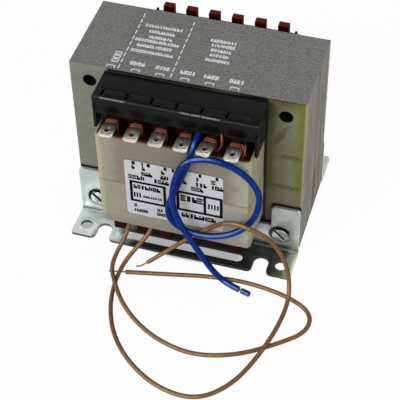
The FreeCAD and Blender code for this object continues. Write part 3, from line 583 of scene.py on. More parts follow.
@dataclass(frozen=True)
class WrapTape:
    """Ivory tape round the coil: a greyer upper turn, a paler lower one, yellowed at the corners."""

    ivory: Colour = srgb(150, 147, 128)
    upper: Colour = srgb(130, 119, 108)
    aged: Colour = srgb(176, 173, 140)
    pale: Colour = srgb(162, 161, 154)
    shade: Colour = srgb(134, 124, 114)
    line: Colour = srgb(104, 98, 74)
    seam_height: float = 45.3
    half_width: float = 34.7
    paler_side: Pair = (8.0, 26.0)
    darker_foot: Pair = (27.0, 20.5)

    def material(self) -> Material:
        """Build the material.

        Returns:
            The finished material.
        """
        shader = Shader("wrap_tape")
        place = shader.place()
        across, _, height = shader.parts(place)
        grain = shader.noise(shader.stretched(place, (1.4, 1.4, 0.5)), 2.0, 3.0)
        cloud = shader.noise(place, 0.1, 3.0)
        ragged = (cloud - 0.5) * 12.0
        above = shader.step(height, self.seam_height - 0.12, self.seam_height + 0.12)
        inner = shader.step(abs(across) + ragged, self.half_width - 4.0, self.half_width - 12.0)
        colour = shader.blend(shader.step(across + ragged, *self.paler_side) * 0.8, self.ivory, self.pale)
        colour = shader.blend(above * inner, colour, self.upper)
        corner = shader.step(abs(across) + ragged * 0.2, self.half_width - 4.0, self.half_width - 1.8)
        colour = shader.blend(corner * 0.85, colour, self.aged)
        foot = shader.step(height + ragged * 0.4, *self.darker_foot)
        colour = shader.blend(foot * 0.6, colour, self.shade)
        colour = shader.blend(shader.step(cloud, 0.5, 0.75) * 0.3, colour, self.shade)
        seam = shader.step(abs(height - self.seam_height), 0.4, 0.1)
        colour = shader.blend(seam * 0.6, colour, self.line)
        streak = shader.noise(shader.stretched(place, (0.03, 0.3, 0.8)), 1.0, 2.0)
        colour = shader.blend(shader.step(streak, 0.55, 0.8) * 0.25, colour, self.line)
        rough = 0.4 + (grain - 0.5) * 0.2
        return shader.finish(Base_Color=colour, Roughness=rough, Specular_IOR_Level=0.3,
                             Normal=shader.bump(grain, 0.05, 0.5))


@dataclass(frozen=True)
class PrintInk:
    """A print colour with thin worn places."""

    name: str
    ink: Colour
    worn: Colour
    wear: float = 0.3
    shine: float = 0.5

    def material(self) -> Material:
        """Build the material.

        Returns:
            The finished material.
        """
        shader = Shader(self.name)
        place = shader.place()
        patch = shader.noise(place, 1.7, 3.0)
        colour = shader.blend(shader.step(patch, 0.5, 0.75) * self.wear, self.ink, self.worn)
        return shader.finish(Base_Color=colour, Roughness=0.5 + (patch - 0.5) * 0.2,
                             Specular_IOR_Level=self.shine, Normal=shader.bump(patch, 0.01, 0.4))


@dataclass(frozen=True)
class PlatedMetal:
    """Plated sheet or turned metal: cloudy plating, fine scratches and duller patches."""

    name: str
    bright: Colour
    dull: Colour
    roughness: float
    metallic: float
    scratch_scale: Point
    cloud_scale: float

    def material(self) -> Material:
        """Build the material.

        Returns:
            The finished material.
        """
        shader = Shader(self.name)
        place = shader.place()
        cloud = shader.noise(place, self.cloud_scale, 4.0, 0.6)
        scratch = shader.noise(shader.stretched(place, self.scratch_scale), 1.0, 4.0)
        fleck = shader.cells(place, 0.9)
        colour = shader.blend(shader.step(cloud, 0.36, 0.68) * 0.8, self.bright, self.dull)
        colour = shader.blend(shader.step(fleck, 0.2, 0.05) * 0.25, colour, self.dull)
        rough = self.roughness + (cloud - 0.5) * 0.35 + (scratch - 0.5) * 0.2
        return shader.finish(Base_Color=colour, Metallic=self.metallic, Roughness=rough,
                             Normal=shader.bump(scratch, 0.02, 0.5))


@dataclass(frozen=True)
class BracketZinc:
    """Zinc-plated bracket sheet: pale ears; painted shade and dark reflection on the foot under the coil,
    painted shade towards the core, in the creases and round the screw heads, and a painted olive
    reflection low on the right.
    """

    ear: Colour = srgb(204, 211, 210)
    pale: Colour = srgb(222, 228, 228)
    grey: Colour = srgb(178, 186, 184)
    # Painted shade: the foot under the coil, where it stands in for a dark reflection too, and the faces
    # towards the core; the foot's cut edges take it as well.
    dark: Colour = srgb(38, 39, 39)
    # Painted shade in the crease where each ear meets the foot.
    line: Colour = srgb(78, 86, 84)
    # Painted reflection of the core's olive face, low on the right end.
    olive_reflection: Colour = srgb(120, 128, 74)
    aged: Colour = srgb(146, 154, 134)
    shadow: Colour = srgb(6, 6, 6)
    dimple_ring: float = 4.55
    coil_side: Pair = (-31.0, -22.0)
    foot_height: Pair = (7.0, 2.4)
    foot_end: Pair = (50.5, 47.5)
    bend_height: float = 2.2
    ear_start: Pair = (36.0, 38.0)
    dull_start: Pair = (37.0, 40.0)
    dull_height: Pair = (4.0, 8.0)
    tint_start: Pair = (44.0, 49.0)
    tint_height: Pair = (9.0, 3.0)

    def material(self) -> Material:
        """Build the material.

        Returns:
            The finished material.
        """
        shader = Shader("bracket_zinc")
        place = shader.place()
        across, depth, height = shader.parts(place)
        cloud = shader.noise(place, 0.09, 3.0, 0.55)
        fine = shader.noise(place, 0.8, 3.0)
        scratch = shader.noise(shader.stretched(place, (3.0, 3.0, 0.3)), 1.0, 3.0)
        colour = shader.blend(shader.step(cloud, 0.4, 0.68) * 0.8, self.ear, self.grey)
        colour = shader.blend(shader.step(cloud, 0.45, 0.3) * 0.6, colour, self.pale)
        # Painted shade and dark reflection on the foot under the coil.
        under = shader.step(across + (cloud - 0.5) * 9.0, *self.coil_side)
        under = under * shader.step(height, *self.foot_height) * shader.step(abs(across), *self.foot_end)
        colour = shader.blend(under * 0.92, colour, self.dark)
        _, facing_y, facing_z = shader.normal()
        # Painted shade on the faces turned towards the core, in the gap behind the ears and walls.
        inner = shader.step(facing_y * shader.maths("SIGN", depth), -0.4, -0.7)
        inner = inner * shader.step(height, self.bend_height, self.bend_height + 1.0)
        colour = shader.blend(inner * 0.93, colour, self.dark)
        edge = shader.step(abs(facing_z), 0.5, 0.25) * shader.step(height, 1.6, 1.35)
        colour = shader.blend(edge * 0.85, colour, self.dark)
        run, rise = abs(across) - SCREW_X, height - SCREW_Z
        leftward = run * shader.maths("SIGN", across)
        ring = shader.step(abs(shader.spread(run, rise) - self.dimple_ring), 0.95, 0.5)
        ring = ring * shader.step(rise - leftward * 0.5, -1.6, 0.6)
        colour = shader.blend(ring, colour, self.shadow)
        # Painted shade in the crease where each ear meets the foot.
        bend_shade = shader.step(abs(height - self.bend_height), 0.75, 0.35)
        bend_shade = bend_shade * shader.step(abs(across), *self.ear_start)
        colour = shader.blend(bend_shade * 0.85, colour, self.line)
        dull_ear = shader.step(across, *self.dull_start) * shader.step(height, *self.dull_height)
        colour = shader.blend(dull_ear * (0.2 + cloud * 0.3), colour, self.aged)
        # Painted reflection of the core's olive face, low on the right end.
        reflection_share = shader.step(across + (cloud - 0.5) * 12.0, *self.tint_start)
        reflection_share = reflection_share * shader.step(height, *self.tint_height)
        colour = shader.blend(reflection_share * 0.55, colour, self.olive_reflection)
        colour = shader.blend(shader.step(fine, 0.58, 0.78) * 0.25, colour, self.grey)
        rough = 0.36 + (cloud - 0.5) * 0.3 + (fine - 0.5) * 0.15
        return shader.finish(Base_Color=colour, Metallic=0.8, Roughness=rough,
                             Normal=shader.bump(scratch + fine, 0.015, 0.5))


@dataclass(frozen=True)
class ScrewZinc:
    """Plated screws, washers and nuts, with painted shade in the slot of each screw's head and a painted
    shadow on the head's upper side.
    """

    bright: Colour = srgb(196, 201, 197)
    dull: Colour = srgb(138, 144, 139)
    # Painted shade in the slots, and painted shadow on the upper side of each head.
    slot: Colour = srgb(16, 17, 16)
    head_face: float = -25.5
    slot_floor: float = -24.3
    flank_end: float = -23.0
    head_radius: float = 3.3

    def material(self) -> Material:
        """Build the material.

        Returns:
            The finished material.
        """
        shader = Shader("screw_zinc")
        place = shader.place()
        across, depth, height = shader.parts(place)
        cloud = shader.noise(place, 0.35, 4.0, 0.6)
        turned = shader.noise(shader.stretched(place, (0.4, 4.0, 0.4)), 1.0, 3.0)
        run, rise = abs(across) - SCREW_X, height - SCREW_Z
        # Painted shade in each slot, and a painted shadow on the upper side of the head next to the ear.
        inside = shader.step(run * run + rise * rise, self.head_radius ** 2 + 1.5, self.head_radius ** 2)
        sunk = shader.step(depth, self.head_face + 0.25, self.head_face + 0.6) * inside
        sunk = sunk * shader.step(depth, self.slot_floor + 0.4, self.slot_floor + 0.1)
        flank_shadow = shader.step(shader.spread(run, rise), self.head_radius + 0.25, self.head_radius + 0.45)
        flank_shadow = flank_shadow * shader.step(depth, self.head_face + 0.3, self.head_face + 0.6)
        flank_shadow = flank_shadow * shader.step(depth, self.flank_end + 1.0, self.flank_end)
        flank_shadow = flank_shadow * shader.step(rise, -1.5, 0.5)
        colour = shader.blend(shader.step(cloud, 0.38, 0.66) * 0.8, self.bright, self.dull)
        colour = shader.blend(shader.maths("MAXIMUM", sunk, flank_shadow) * 0.95, colour, self.slot)
        rough = 0.3 + (cloud - 0.5) * 0.3 + (turned - 0.5) * 0.15
        return shader.finish(Base_Color=colour, Metallic=0.85, Roughness=rough,
                             Normal=shader.bump(turned, 0.02, 0.5))


@dataclass(frozen=True)
class TabPlate:
    """Tinned push-on tab: dull grey with a darker root, a painted highlight at the tip and painted shade in
    the punched hole.
    """

    hole_places: tuple[Pair, ...]
    tin: Colour = srgb(166, 162, 154)
    rooted: Colour = srgb(98, 86, 70)
    # Painted highlight at the tip; also used for paler patches.
    tip: Colour = srgb(216, 214, 203)
    # Painted shade in and round each punched hole.
    hole: Colour = srgb(12, 14, 24)
    root: Pair = (-45.0, -42.0)
    tip_y: float = -49.2
    hole_radius: float = 0.95

    def material(self) -> Material:
        """Build the material.

        Returns:
            The finished material.
        """
        shader = Shader("tab_tin")
        place = shader.place()
        across, depth, _ = shader.parts(place)
        cloud = shader.noise(place, 0.45, 4.0, 0.6)
        brushed = shader.noise(shader.stretched(place, (4.0, 0.4, 1.0)), 1.0, 3.0)
        colour = shader.blend(shader.step(depth + (cloud - 0.5) * 5.0, *self.root), self.tin, self.rooted)
        # Painted highlight where the tip's chamfer catches the light.
        colour = shader.blend(shader.step(depth, self.tip_y + 1.0, self.tip_y) * 0.65, colour, self.tip)
        colour = shader.blend(shader.step(cloud, 0.5, 0.72) * 0.4, colour, self.tip)
        # Painted shade in and round each punched hole.
        for centre_x, centre_y in self.hole_places:
            spread = shader.spread(across - centre_x, depth - centre_y)
            dark = shader.step(spread, self.hole_radius + 0.12, self.hole_radius - 0.1)
            colour = shader.blend(dark * 0.95, colour, self.hole)
        rough = 0.34 + (cloud - 0.5) * 0.3 + (brushed - 0.5) * 0.15
        return shader.finish(Base_Color=colour, Metallic=0.85, Roughness=rough,
                             Normal=shader.bump(brushed, 0.015, 0.5))


@dataclass(frozen=True)
class LeadSleeve:
    """Soft insulation with faint scuffs, a painted highlight along its lit side and painted shade underneath.
    """

    name: str
    colour: Colour
    scuffed: Colour
    # Painted shade on the side away from the light, and the painted highlight on the side towards it.
    shaded_side: Colour
    lit: Colour
    roughness: float = 0.36
    towards_light: Point = (-0.16, -0.7, 0.7)

    def material(self) -> Material:
        """Build the material.

        Returns:
            The finished material.
        """
        shader = Shader(self.name)
        place = shader.place()
        cloud = shader.noise(place, 0.35, 3.0)
        fine = shader.noise(place, 4.0, 2.0)
        colour = shader.blend(shader.step(cloud, 0.4, 0.75) * 0.55, self.colour, self.scuffed)
        # Painted light: painted shade away from the light and a painted highlight streak towards it.
        x, y, z = shader.normal()
        facing = x * self.towards_light[0] + y * self.towards_light[1] + z * self.towards_light[2]
        colour = shader.blend(shader.step(facing, 0.62, 0.1) * 0.9, colour, self.shaded_side)
        streak = shader.step(facing + (cloud - 0.5) * 0.12, 0.86, 0.975)
        colour = shader.blend(streak * (0.35 + cloud * 0.7), colour, self.lit)
        rough = self.roughness + (fine - 0.5) * 0.2
        return shader.finish(Base_Color=colour, Roughness=rough, Specular_IOR_Level=0.07,
                             Normal=shader.bump(fine, 0.015, 0.4))


class Slot(Enum):
    """The record's material slots."""

    CORE = "core_steel"
    FORMER = "former_plastic"
    COPPER = "winding_copper"
    TAPE = "wrap_tape"
    LABEL = "label_paper"
    COVER = "cover_plastic"
    TIN = "tinned_brass"
    ZINC = "zinc_plated_steel"
    BLUE = "blue_insulation"
    BROWN = "brown_insulation"
    STRAND = "strand_copper"


def made_from(kind: type, *values: object, **named: object) -> Material:
    """A palette entry, whose material is made from a finish together with the palette."""
    return field(default_factory=lambda: kind(*values, **named).material())


@dataclass
class Palette:
    """Every finish of the transformer, built once."""

    core: Material = made_from(LaminationSteel)
    former: Material = made_from(FormerPlastic)
    cover: Material = made_from(CoverPlastic)
    film: Material = made_from(
        MouldedPlastic, "insulation_film", srgb(190, 184, 150), srgb(160, 152, 120), roughness=0.3)
    tape: Material = made_from(WrapTape)
    label: Material = made_from(PrintInk, "label_paper", srgb(198, 198, 202), srgb(184, 184, 188))
    black_ink: Material = made_from(
        PrintInk, "black_ink", srgb(6, 6, 12), srgb(30, 30, 40), wear=0.2, shine=0.04)
    white_ink: Material = made_from(
        PrintInk, "white_ink", srgb(232, 233, 238), srgb(176, 176, 180), wear=0.5)
    zinc: Material = made_from(BracketZinc)
    screw: Material = made_from(ScrewZinc)
    tin: Material = field(default_factory=lambda: TabPlate(Terminals().hole_places()).material())
    copper: Material = made_from(
        PlatedMetal, "enamelled_copper", srgb(158, 78, 40), srgb(98, 42, 22),
        roughness=0.38, metallic=0.5, scratch_scale=(3.0, 3.0, 0.5), cloud_scale=0.5)
    turns: Material = made_from(
        PlatedMetal, "soldered_turns", srgb(120, 56, 36), srgb(72, 27, 17),
        roughness=0.42, metallic=0.4, scratch_scale=(3.0, 3.0, 0.5), cloud_scale=0.7)
    strand: Material = made_from(
        PlatedMetal, "bare_strand", srgb(150, 112, 78), srgb(112, 80, 52),
        roughness=0.38, metallic=0.6, scratch_scale=(3.0, 3.0, 3.0), cloud_scale=0.8)
    blue: Material = made_from(
        LeadSleeve, "blue_sleeve", srgb(2, 42, 120), srgb(10, 60, 150), srgb(0, 15, 78), srgb(118, 146, 202))
    brown: Material = made_from(
        LeadSleeve, "brown_sleeve", srgb(126, 89, 56), srgb(140, 104, 72), srgb(82, 48, 25),
        srgb(182, 148, 112), roughness=0.45)


# Mesh making
def new_piece(name: str, data: ID) -> Object:
    """Put a mesh, a curve, a lamp or a camera into the scene, at the origin.

    Args:
        name: The name to give it.
        data: The mesh, curve, lamp or camera.

    Returns:
        The new object.
    """
    piece = bpy.data.objects.new(name, data)
    bpy.context.scene.collection.objects.link(piece)
    return piece


def new_mesh(name: str, form: bmesh.types.BMesh) -> Mesh:
    """Turn a form into a mesh.

    Args:
        name: The name to give it.
        form: The form, which is freed.

    Returns:
        The mesh.
    """
    mesh = bpy.data.meshes.new(name)
    form.to_mesh(mesh)
    form.free()
    return mesh


def dress(piece: Object, material: Material, nodes: Iterable[str] = ()) -> Object:
    """Give a finished piece its material and its body, and hide the solids that it stands for.

    Args:
        piece: The finished piece.
        material: Its finish.
        nodes: The solids that it replaces.

    Returns:
        The piece.
    """
    piece.data.materials.clear()
    piece.data.materials.append(material)
    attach(piece, "root")
    if nodes:
        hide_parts(*nodes)
    LOG.info("%s: %d faces", piece.name, len(getattr(piece.data, "polygons", ())))
    return piece


def shade(mesh: Mesh, angle: float = 35.0) -> None:
    """Shade a mesh smooth, apart from edges that turn by more than an angle in degrees."""
    mesh.shade_smooth()
    mesh.set_sharp_from_angle(angle=math.radians(angle))


def settled(piece: Object) -> Object:
    """Turn a piece and its modifiers into a plain mesh, with sharp corners kept sharp.

    Args:
        piece: The piece to settle.

    Returns:
        The plain mesh piece.
    """
    graph = bpy.context.evaluated_depsgraph_get()
    mesh = bpy.data.meshes.new_from_object(piece.evaluated_get(graph), depsgraph=graph)
    if piece.type == "MESH":
        piece.modifiers.clear()
        piece.data = mesh
    else:
        name = piece.name
        bpy.data.objects.remove(piece)
        piece = new_piece(name, mesh)
    shade(mesh)
    return piece


def eased_copy(node: str, width: float, segments: int, material: Material) -> Object:
    """Copy a solid, ease its corners and put it in the solid's place.

    Args:
        node: The solid's name.
        width: How wide the eased corner is, in millimetres.
        segments: Faces across it.
        material: Its finish.

    Returns:
        The plain mesh piece.
    """
    form = bmesh.new()
    form.from_mesh(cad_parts[node].data)
    bmesh.ops.remove_doubles(form, verts=form.verts, dist=MERGE)
    bmesh.ops.dissolve_limit(form, angle_limit=math.radians(1.0), verts=form.verts, edges=form.edges)
    name = f"{node}_dressed"
    piece = new_piece(name, new_mesh(name, form))
    easing = piece.modifiers.new("easing", "BEVEL")
    easing.width = width * MM
    easing.segments = segments
    easing.limit_method = "ANGLE"
    easing.angle_limit = math.radians(40.0)
    return dress(settled(piece), material, [node])


def turns_round(count: int) -> list[float]:
    """Evenly spaced angles round a circle."""
    return [2 * math.pi * step / count for step in range(count)]


def ringed_piece(name: str, rings: Sequence[Sequence[Point]], closed: bool, angle: float) -> Object:
    """Skin rings of millimetre points into a plain mesh piece.

    Args:
        name: The name to give it.
        rings: The rings in order, with as many points each.
        closed: Whether the last ring joins the first, instead of both being capped.
        angle: The turn in degrees from which an edge stays sharp.

    Returns:
        The piece.
    """
    form = bmesh.new()
    loops = [[form.verts.new([value * MM for value in spot]) for spot in ring] for ring in rings]
    count = len(loops[0])
    for first, second in zip(loops, loops[1:] + loops[:1] if closed else loops[1:]):
        for step in range(count):
            after = (step + 1) % count
            form.faces.new((first[step], first[after], second[after], second[step]))
    if not closed:
        form.faces.new(list(reversed(loops[0])))
        form.faces.new(loops[-1])
    bmesh.ops.recalc_face_normals(form, faces=form.faces)
    piece = new_piece(name, new_mesh(name, form))
    shade(piece.data, angle)
    return piece


def wire_curve(name: str, radius: float, resolution: int) -> Curve:
    """Start a round wire with closed ends.

    Args:
        name: The name to give it.
        radius: Half the thickness, in millimetres.
        resolution: How round the wire is.

    Returns:
        The curve, without a line yet.
    """
    curve = bpy.data.curves.new(name, "CURVE")
    curve.dimensions = "3D"
    curve.bevel_depth = radius * MM
    curve.bevel_resolution = resolution
    curve.use_fill_caps = True
    return curve


def tube_piece(name: str, points: Sequence[Point], radius: float) -> Object:
    """Make a round wire along a smooth line through millimetre points, as a curve piece.

    Args:
        name: The name to give it.
        points: The line's points.
        radius: Half the thickness, in millimetres.

    Returns:
        The curve piece.
    """
    curve = wire_curve(name, radius, resolution=5)
    spline = curve.splines.new("NURBS")
    spline.points.add(len(points) - 1)
    for knot, place in zip(spline.points, points):
        knot.co = (*(value * MM for value in place), 1.0)
    spline.order_u = 3
    spline.use_endpoint_u = True
    spline.resolution_u = 10
    return new_piece(name, curve)


class Growth(Tree):
    """A Geometry Nodes tree with named inputs, whose result is kept as a plain mesh."""

    def __init__(self, name: str, **inputs: str) -> None:
        """Start a tree that takes and gives geometry.

        Args:
            name: The name to give it.
            **inputs: The types of its other inputs by name, such as Float or Int.
        """
        super().__init__(bpy.data.node_groups.new(name, "GeometryNodeTree"))
        self.tree.interface.new_socket("Geometry", in_out="OUTPUT", socket_type="NodeSocketGeometry")
        for given, kind in {"Geometry": "Geometry", **inputs, "Finish": "Material"}.items():
            self.tree.interface.new_socket(given, in_out="INPUT", socket_type=f"NodeSocket{kind}")
        self.given = self.node("NodeGroupInput").outputs

    def end(self, instances: NodeSocket) -> None:
        """Realize the copies, give them their material and close the tree.

        Args:
            instances: The copies.
        """
        plain = self.node("GeometryNodeRealizeInstances", None, {0: instances})
        finished = self.node("GeometryNodeSetMaterial", None,
                             {"Geometry": plain.outputs[0], "Material": self.given["Finish"]})
        self.node("NodeGroupOutput", None, {0: finished.outputs[0]})

    def grow(self, seed: Object, values: dict) -> Object:
        """Run the tree on a piece and keep the result as the piece's own mesh.

        Args:
            seed: The piece that holds the starting mesh.
            values: The inputs by name.

        Returns:
            The same piece with a plain mesh and no modifier.
        """
        modifier = seed.modifiers.new("growth", "NODES")
        modifier.node_group = self.tree
        for item in self.tree.interface.items_tree:
            if item.in_out == "INPUT" and item.name in values:
                modifier[item.identifier] = values[item.name]
        return settled(seed)


class RowGrowth(Growth):
    """Copies a piece at an even pitch along Y, each pushed aside a little if asked."""

    def __init__(self, name: str) -> None:
        """Build the tree.

        Args:
            name: The name to give it.
        """
        super().__init__(name, Count="Int", Pitch="Float", Aside="Vector", Seed="Int")
        given = self.given
        offset = self.node("ShaderNodeCombineXYZ", None, {1: given["Pitch"]})
        line = self.node("GeometryNodeMeshLine", {"mode": "OFFSET"},
                         {"Count": given["Count"], "Offset": offset.outputs[0]})
        copies = self.node("GeometryNodeInstanceOnPoints", None,
                           {"Points": line.outputs[0], "Instance": given["Geometry"]})
        back = self.node("ShaderNodeVectorMath", {"operation": "SCALE"}, {0: given["Aside"], "Scale": -1.0})
        aside = self.node("FunctionNodeRandomValue", {"data_type": "FLOAT_VECTOR"},
                          {0: back.outputs[0], 1: given["Aside"], "Seed": given["Seed"]})
        moved = self.node("GeometryNodeTranslateInstances", None,
                          {"Instances": copies.outputs[0], "Translation": aside.outputs[0]})
        self.end(moved.outputs[0])


class MarkGrowth(Growth):
    """Puts a thin bar at every point of a mesh, as large as the point's own size says."""

    def __init__(self) -> None:
        """Build the tree."""
        super().__init__("print_marks")
        bar = self.node("GeometryNodeMeshCube", None, {"Size": (1.0, 1.0, 1.0)})
        size = self.node("GeometryNodeInputNamedAttribute", {"data_type": "FLOAT_VECTOR"}, {"Name": "size"})
        copies = self.node("GeometryNodeInstanceOnPoints", None,
                           {"Points": self.given["Geometry"], "Instance": bar.outputs[0],
                            "Scale": size.outputs[0]})
        self.end(copies.outputs[0])


class Printing:
    """Thin print bars on one face, gathered as points with sizes and grown in one go."""

    STROKES: tuple[tuple[tuple[float, float, float, float], ...], ...] = (
        ((0.5, 0.5, 0.5, 1.0),),
        ((0.2, 0.5, 0.4, 1.0), (0.82, 0.5, 0.36, 0.8)),
        ((0.17, 0.5, 0.34, 1.0), (0.83, 0.5, 0.34, 1.0), (0.5, 0.15, 0.4, 0.3), (0.5, 0.85, 0.4, 0.3)),
        ((0.5, 0.14, 1.0, 0.28), (0.4, 0.5, 0.8, 0.26), (0.5, 0.86, 1.0, 0.28)),
        ((0.2, 0.5, 0.4, 1.0), (0.65, 0.3, 0.6, 0.6)),
        ((0.5, 0.3, 1.0, 0.6), (0.5, 0.85, 0.5, 0.3)),
    )
    STROKE_SHAPE: float = 0.6
    STROKE_GAP: float = 0.13

    def __init__(self, upright: bool, level: float, depth: float, seed: int, weight: float) -> None:
        """Start with no bars.

        Args:
            upright: Whether the face stands and looks along -Y, instead of lying flat.
            level: The bars' middle: Y of a standing face, Z of a lying one, in millimetres.
            depth: How thick the bars are.
            seed: What the uneven strokes are drawn from.
            weight: How much bolder than their pattern the strokes are.
        """
        self.upright, self.level, self.depth, self.weight = upright, level, depth, weight
        self.scatter = random.Random(seed)
        self.bars: list[tuple[Point, Point]] = []

    def bar(self, across: float, rise: float, width: float, height: float) -> None:
        """Add one bar by its centre and size on the face.

        Args:
            across: The place across the face, in millimetres.
            rise: The place up the face, in millimetres.
            width: The width in millimetres.
            height: The height in millimetres.
        """
        if self.upright:
            self.bars.append(((across, self.level, rise), (width, self.depth, height)))
        else:
            self.bars.append(((across, rise, self.level), (width, height, self.depth)))

    def outline(self, left: float, low: float, right: float, high: float, line: float) -> None:
        """Add an open rectangle by its lines' middles.

        Args:
            left: The left end, in millimetres.
            low: The lower line, in millimetres.
            right: The right end, in millimetres.
            high: The upper line, in millimetres.
            line: The lines' width.
        """
        middle, centre = (left + right) / 2, (low + high) / 2
        for rise in (low, high):
            self.bar(middle, rise, right - left + line, line)
        for across in (left, right):
            self.bar(across, centre, line, high - low)

    def row(self, left: float, right: float, rise: float, height: float) -> None:
        """Fill a line with uneven strokes, about as dense as small print.

        Args:
            left: The left end, in millimetres.
            right: The right end, in millimetres.
            rise: The place up the face, in millimetres.
            height: The strokes' height.
        """
        width, at = height * self.STROKE_SHAPE, left
        while at + width * 0.6 < right:
            size = width * self.scatter.uniform(0.85, 1.1)
            for across, up, wide, tall in self.scatter.choice(self.STROKES):
                self.bar(at + across * size, rise + (up - 0.5) * height, wide * size * self.weight,
                         tall * height)
            at += size + height * self.STROKE_GAP

    def piece(self, name: str, growth: MarkGrowth, material: Material) -> Object:
        """Grow the bars into one plain mesh piece.

        Args:
            name: The name to give it.
            growth: The tree that makes the bars.
            material: The finish.

        Returns:
            The plain mesh piece.
        """
        mesh = bpy.data.meshes.new(name)
        mesh.from_pydata([[value * MM for value in centre] for centre, _ in self.bars], [], [])
        sizes = mesh.attributes.new("size", "FLOAT_VECTOR", "POINT")
        sizes.data.foreach_set("vector", [value * MM for _, size in self.bars for value in size])
        return growth.grow(new_piece(name, mesh), {"Finish": material})


# Studio
@dataclass
class Studio:
    """Camera, lamps, floor and surroundings."""

    azimuth: float = 17.63
    elevation: float = 45.87
    roll: float = -1.31
    distance: float = 630.6
    target: Point = (-1.9, 0.0, -3.7)
    lens: float = 117.53
    sensor: float = 36.0
    clip: Pair = (0.05, 20.0)
    ambient: float = 0.3
    floor_reach: float = 4.0
    floor_level: float = -0.00005
    floor_colour: Colour = (0.9, 0.9, 0.9)
    floor_white: float = 0.95
    shade_depth: float = 0.58
    shade_spots: tuple[tuple[float, float, float, float], ...] = (
        (0.5, -34.0, 33.0, 9.0), (-47.0, -34.5, 5.0, 5.0))

    LAMPS: ClassVar[tuple[tuple[str, Point, Point, float, float, Colour], ...]] = (
        ("key", (-0.55, -1.1, 0.85), (0.0, 0.0, 0.04), 0.7, 11.0, (1.0, 0.99, 0.97)),
        ("fill", (1.1, -0.75, 0.6), (0.0, 0.0, 0.04), 0.8, 5.5, (0.97, 0.98, 1.0)),
        ("rim", (0.3, 0.9, 1.1), (0.0, 0.0, 0.06), 0.6, 3.5, (1.0, 1.0, 1.0)))
    RAYS: ClassVar[tuple[str, ...]] = ("Is Camera Ray", "Is Glossy Ray", "Is Transmission Ray")

    def directions(self) -> tuple[Vector, Vector, Vector]:
        """The camera's right, up and backward directions.

        Returns:
            Right, up and backward.
        """
        turn, lift, roll = (math.radians(a) for a in (self.azimuth, self.elevation, self.roll))
        back = Vector((math.sin(turn) * math.cos(lift), -math.cos(turn) * math.cos(lift), math.sin(lift)))
        right = Vector((math.cos(turn), math.sin(turn), 0.0))
        up = back.cross(right)
        return (right * math.cos(roll) + up * math.sin(roll),
                up * math.cos(roll) - right * math.sin(roll), back)

    def camera(self) -> None:
        """Set up the camera at the photograph's view."""
        data = bpy.data.cameras.new("view")
        data.lens = self.lens
        data.sensor_width = self.sensor
        data.clip_start, data.clip_end = self.clip
        right, up, back = self.directions()
        eye = (Vector(self.target) + back * self.distance) * MM
        holder = new_piece("view", data)
        holder.matrix_world = Matrix.Translation(eye) @ Matrix((right, up, back)).transposed().to_4x4()
        bpy.context.scene.camera = holder

    def lamps(self) -> None:
        """Set up the square soft lamps: place and aim in metres, side in metres, power in watts."""
        for name, place, aim, size, power, colour in self.LAMPS:
            data = bpy.data.lights.new(name, "AREA")
            data.size = size
            data.energy = power
            data.color = colour
            holder = new_piece(name, data)
            holder.location = place
            holder.rotation_mode = "QUATERNION"
            holder.rotation_quaternion = (Vector(aim) - Vector(place)).to_track_quat("-Z", "Y")

    def seen(self, shader: Shader) -> Wire:
        """Where the picture, or something shiny or clear, looks at it.

        Args:
            shader: The tree that asks.

        Returns:
            1 where one of them looks, or else 0.
        """
        rays = shader.node("ShaderNodeLightPath").outputs
        total: object = 0.0
        for name in self.RAYS:
            total = shader.maths("MAXIMUM", total, Wire(shader, rays[name]))
        return total

    def surroundings(self) -> None:
        """Plain even surroundings that show white behind the object and light it more weakly."""
        shader = Shader("surroundings", world=True)
        bpy.context.scene.world = shader.owner
        level = self.ambient + self.seen(shader) * (1.0 - self.ambient)
        light = shader.node("ShaderNodeBackground", None, {"Color": (1.0, 1.0, 1.0), "Strength": level})
        shader.node("ShaderNodeOutputWorld", None, {"Surface": light.outputs[0]})

    def open_floor(self, shader: Shader) -> Wire:
        """How white the floor looks: all of it, apart from the shade under the coil.

        Args:
            shader: The floor's tree.

        Returns:
            The floor's brightness.
        """
        across, depth, _ = shader.parts(shader.place())
        total: object = 1.0
        for centre_x, centre_y, reach_x, reach_y in self.shade_spots:
            spread = shader.spread((across - centre_x) / reach_x, (depth - centre_y) / reach_y)
            level = (1.0 - self.shade_depth) + shader.step(spread, 0.75, 1.0) * self.shade_depth
            total = shader.maths("MINIMUM", total, level)
        return total

    def floor(self) -> None:
        """A pale floor that stays white where it is lit and keeps the object's soft shadow."""
        form = bmesh.new()
        bmesh.ops.create_grid(form, x_segments=4, y_segments=4, size=self.floor_reach)
        piece = new_piece("floor", new_mesh("floor", form))
        shader = Shader("floor")
        matt = shader.node("ShaderNodeBsdfDiffuse", None, {"Color": self.floor_colour})
        white = shader.node("ShaderNodeEmission", None, {"Strength": self.open_floor(shader)})
        both = shader.node("ShaderNodeMixShader", None, {0: self.seen(shader) * self.floor_white,
                                                         1: matt.outputs[0], 2: white.outputs[0]})
        shader.node("ShaderNodeOutputMaterial", None, {"Surface": both.outputs[0]})
        piece.data.materials.append(shader.owner)
        piece.location.z = self.floor_level

    def build(self) -> None:
        """Set up the whole studio."""
        bpy.context.scene.view_settings.view_transform = "Standard"
        self.camera()
        self.lamps()
        self.surroundings()
        self.floor()


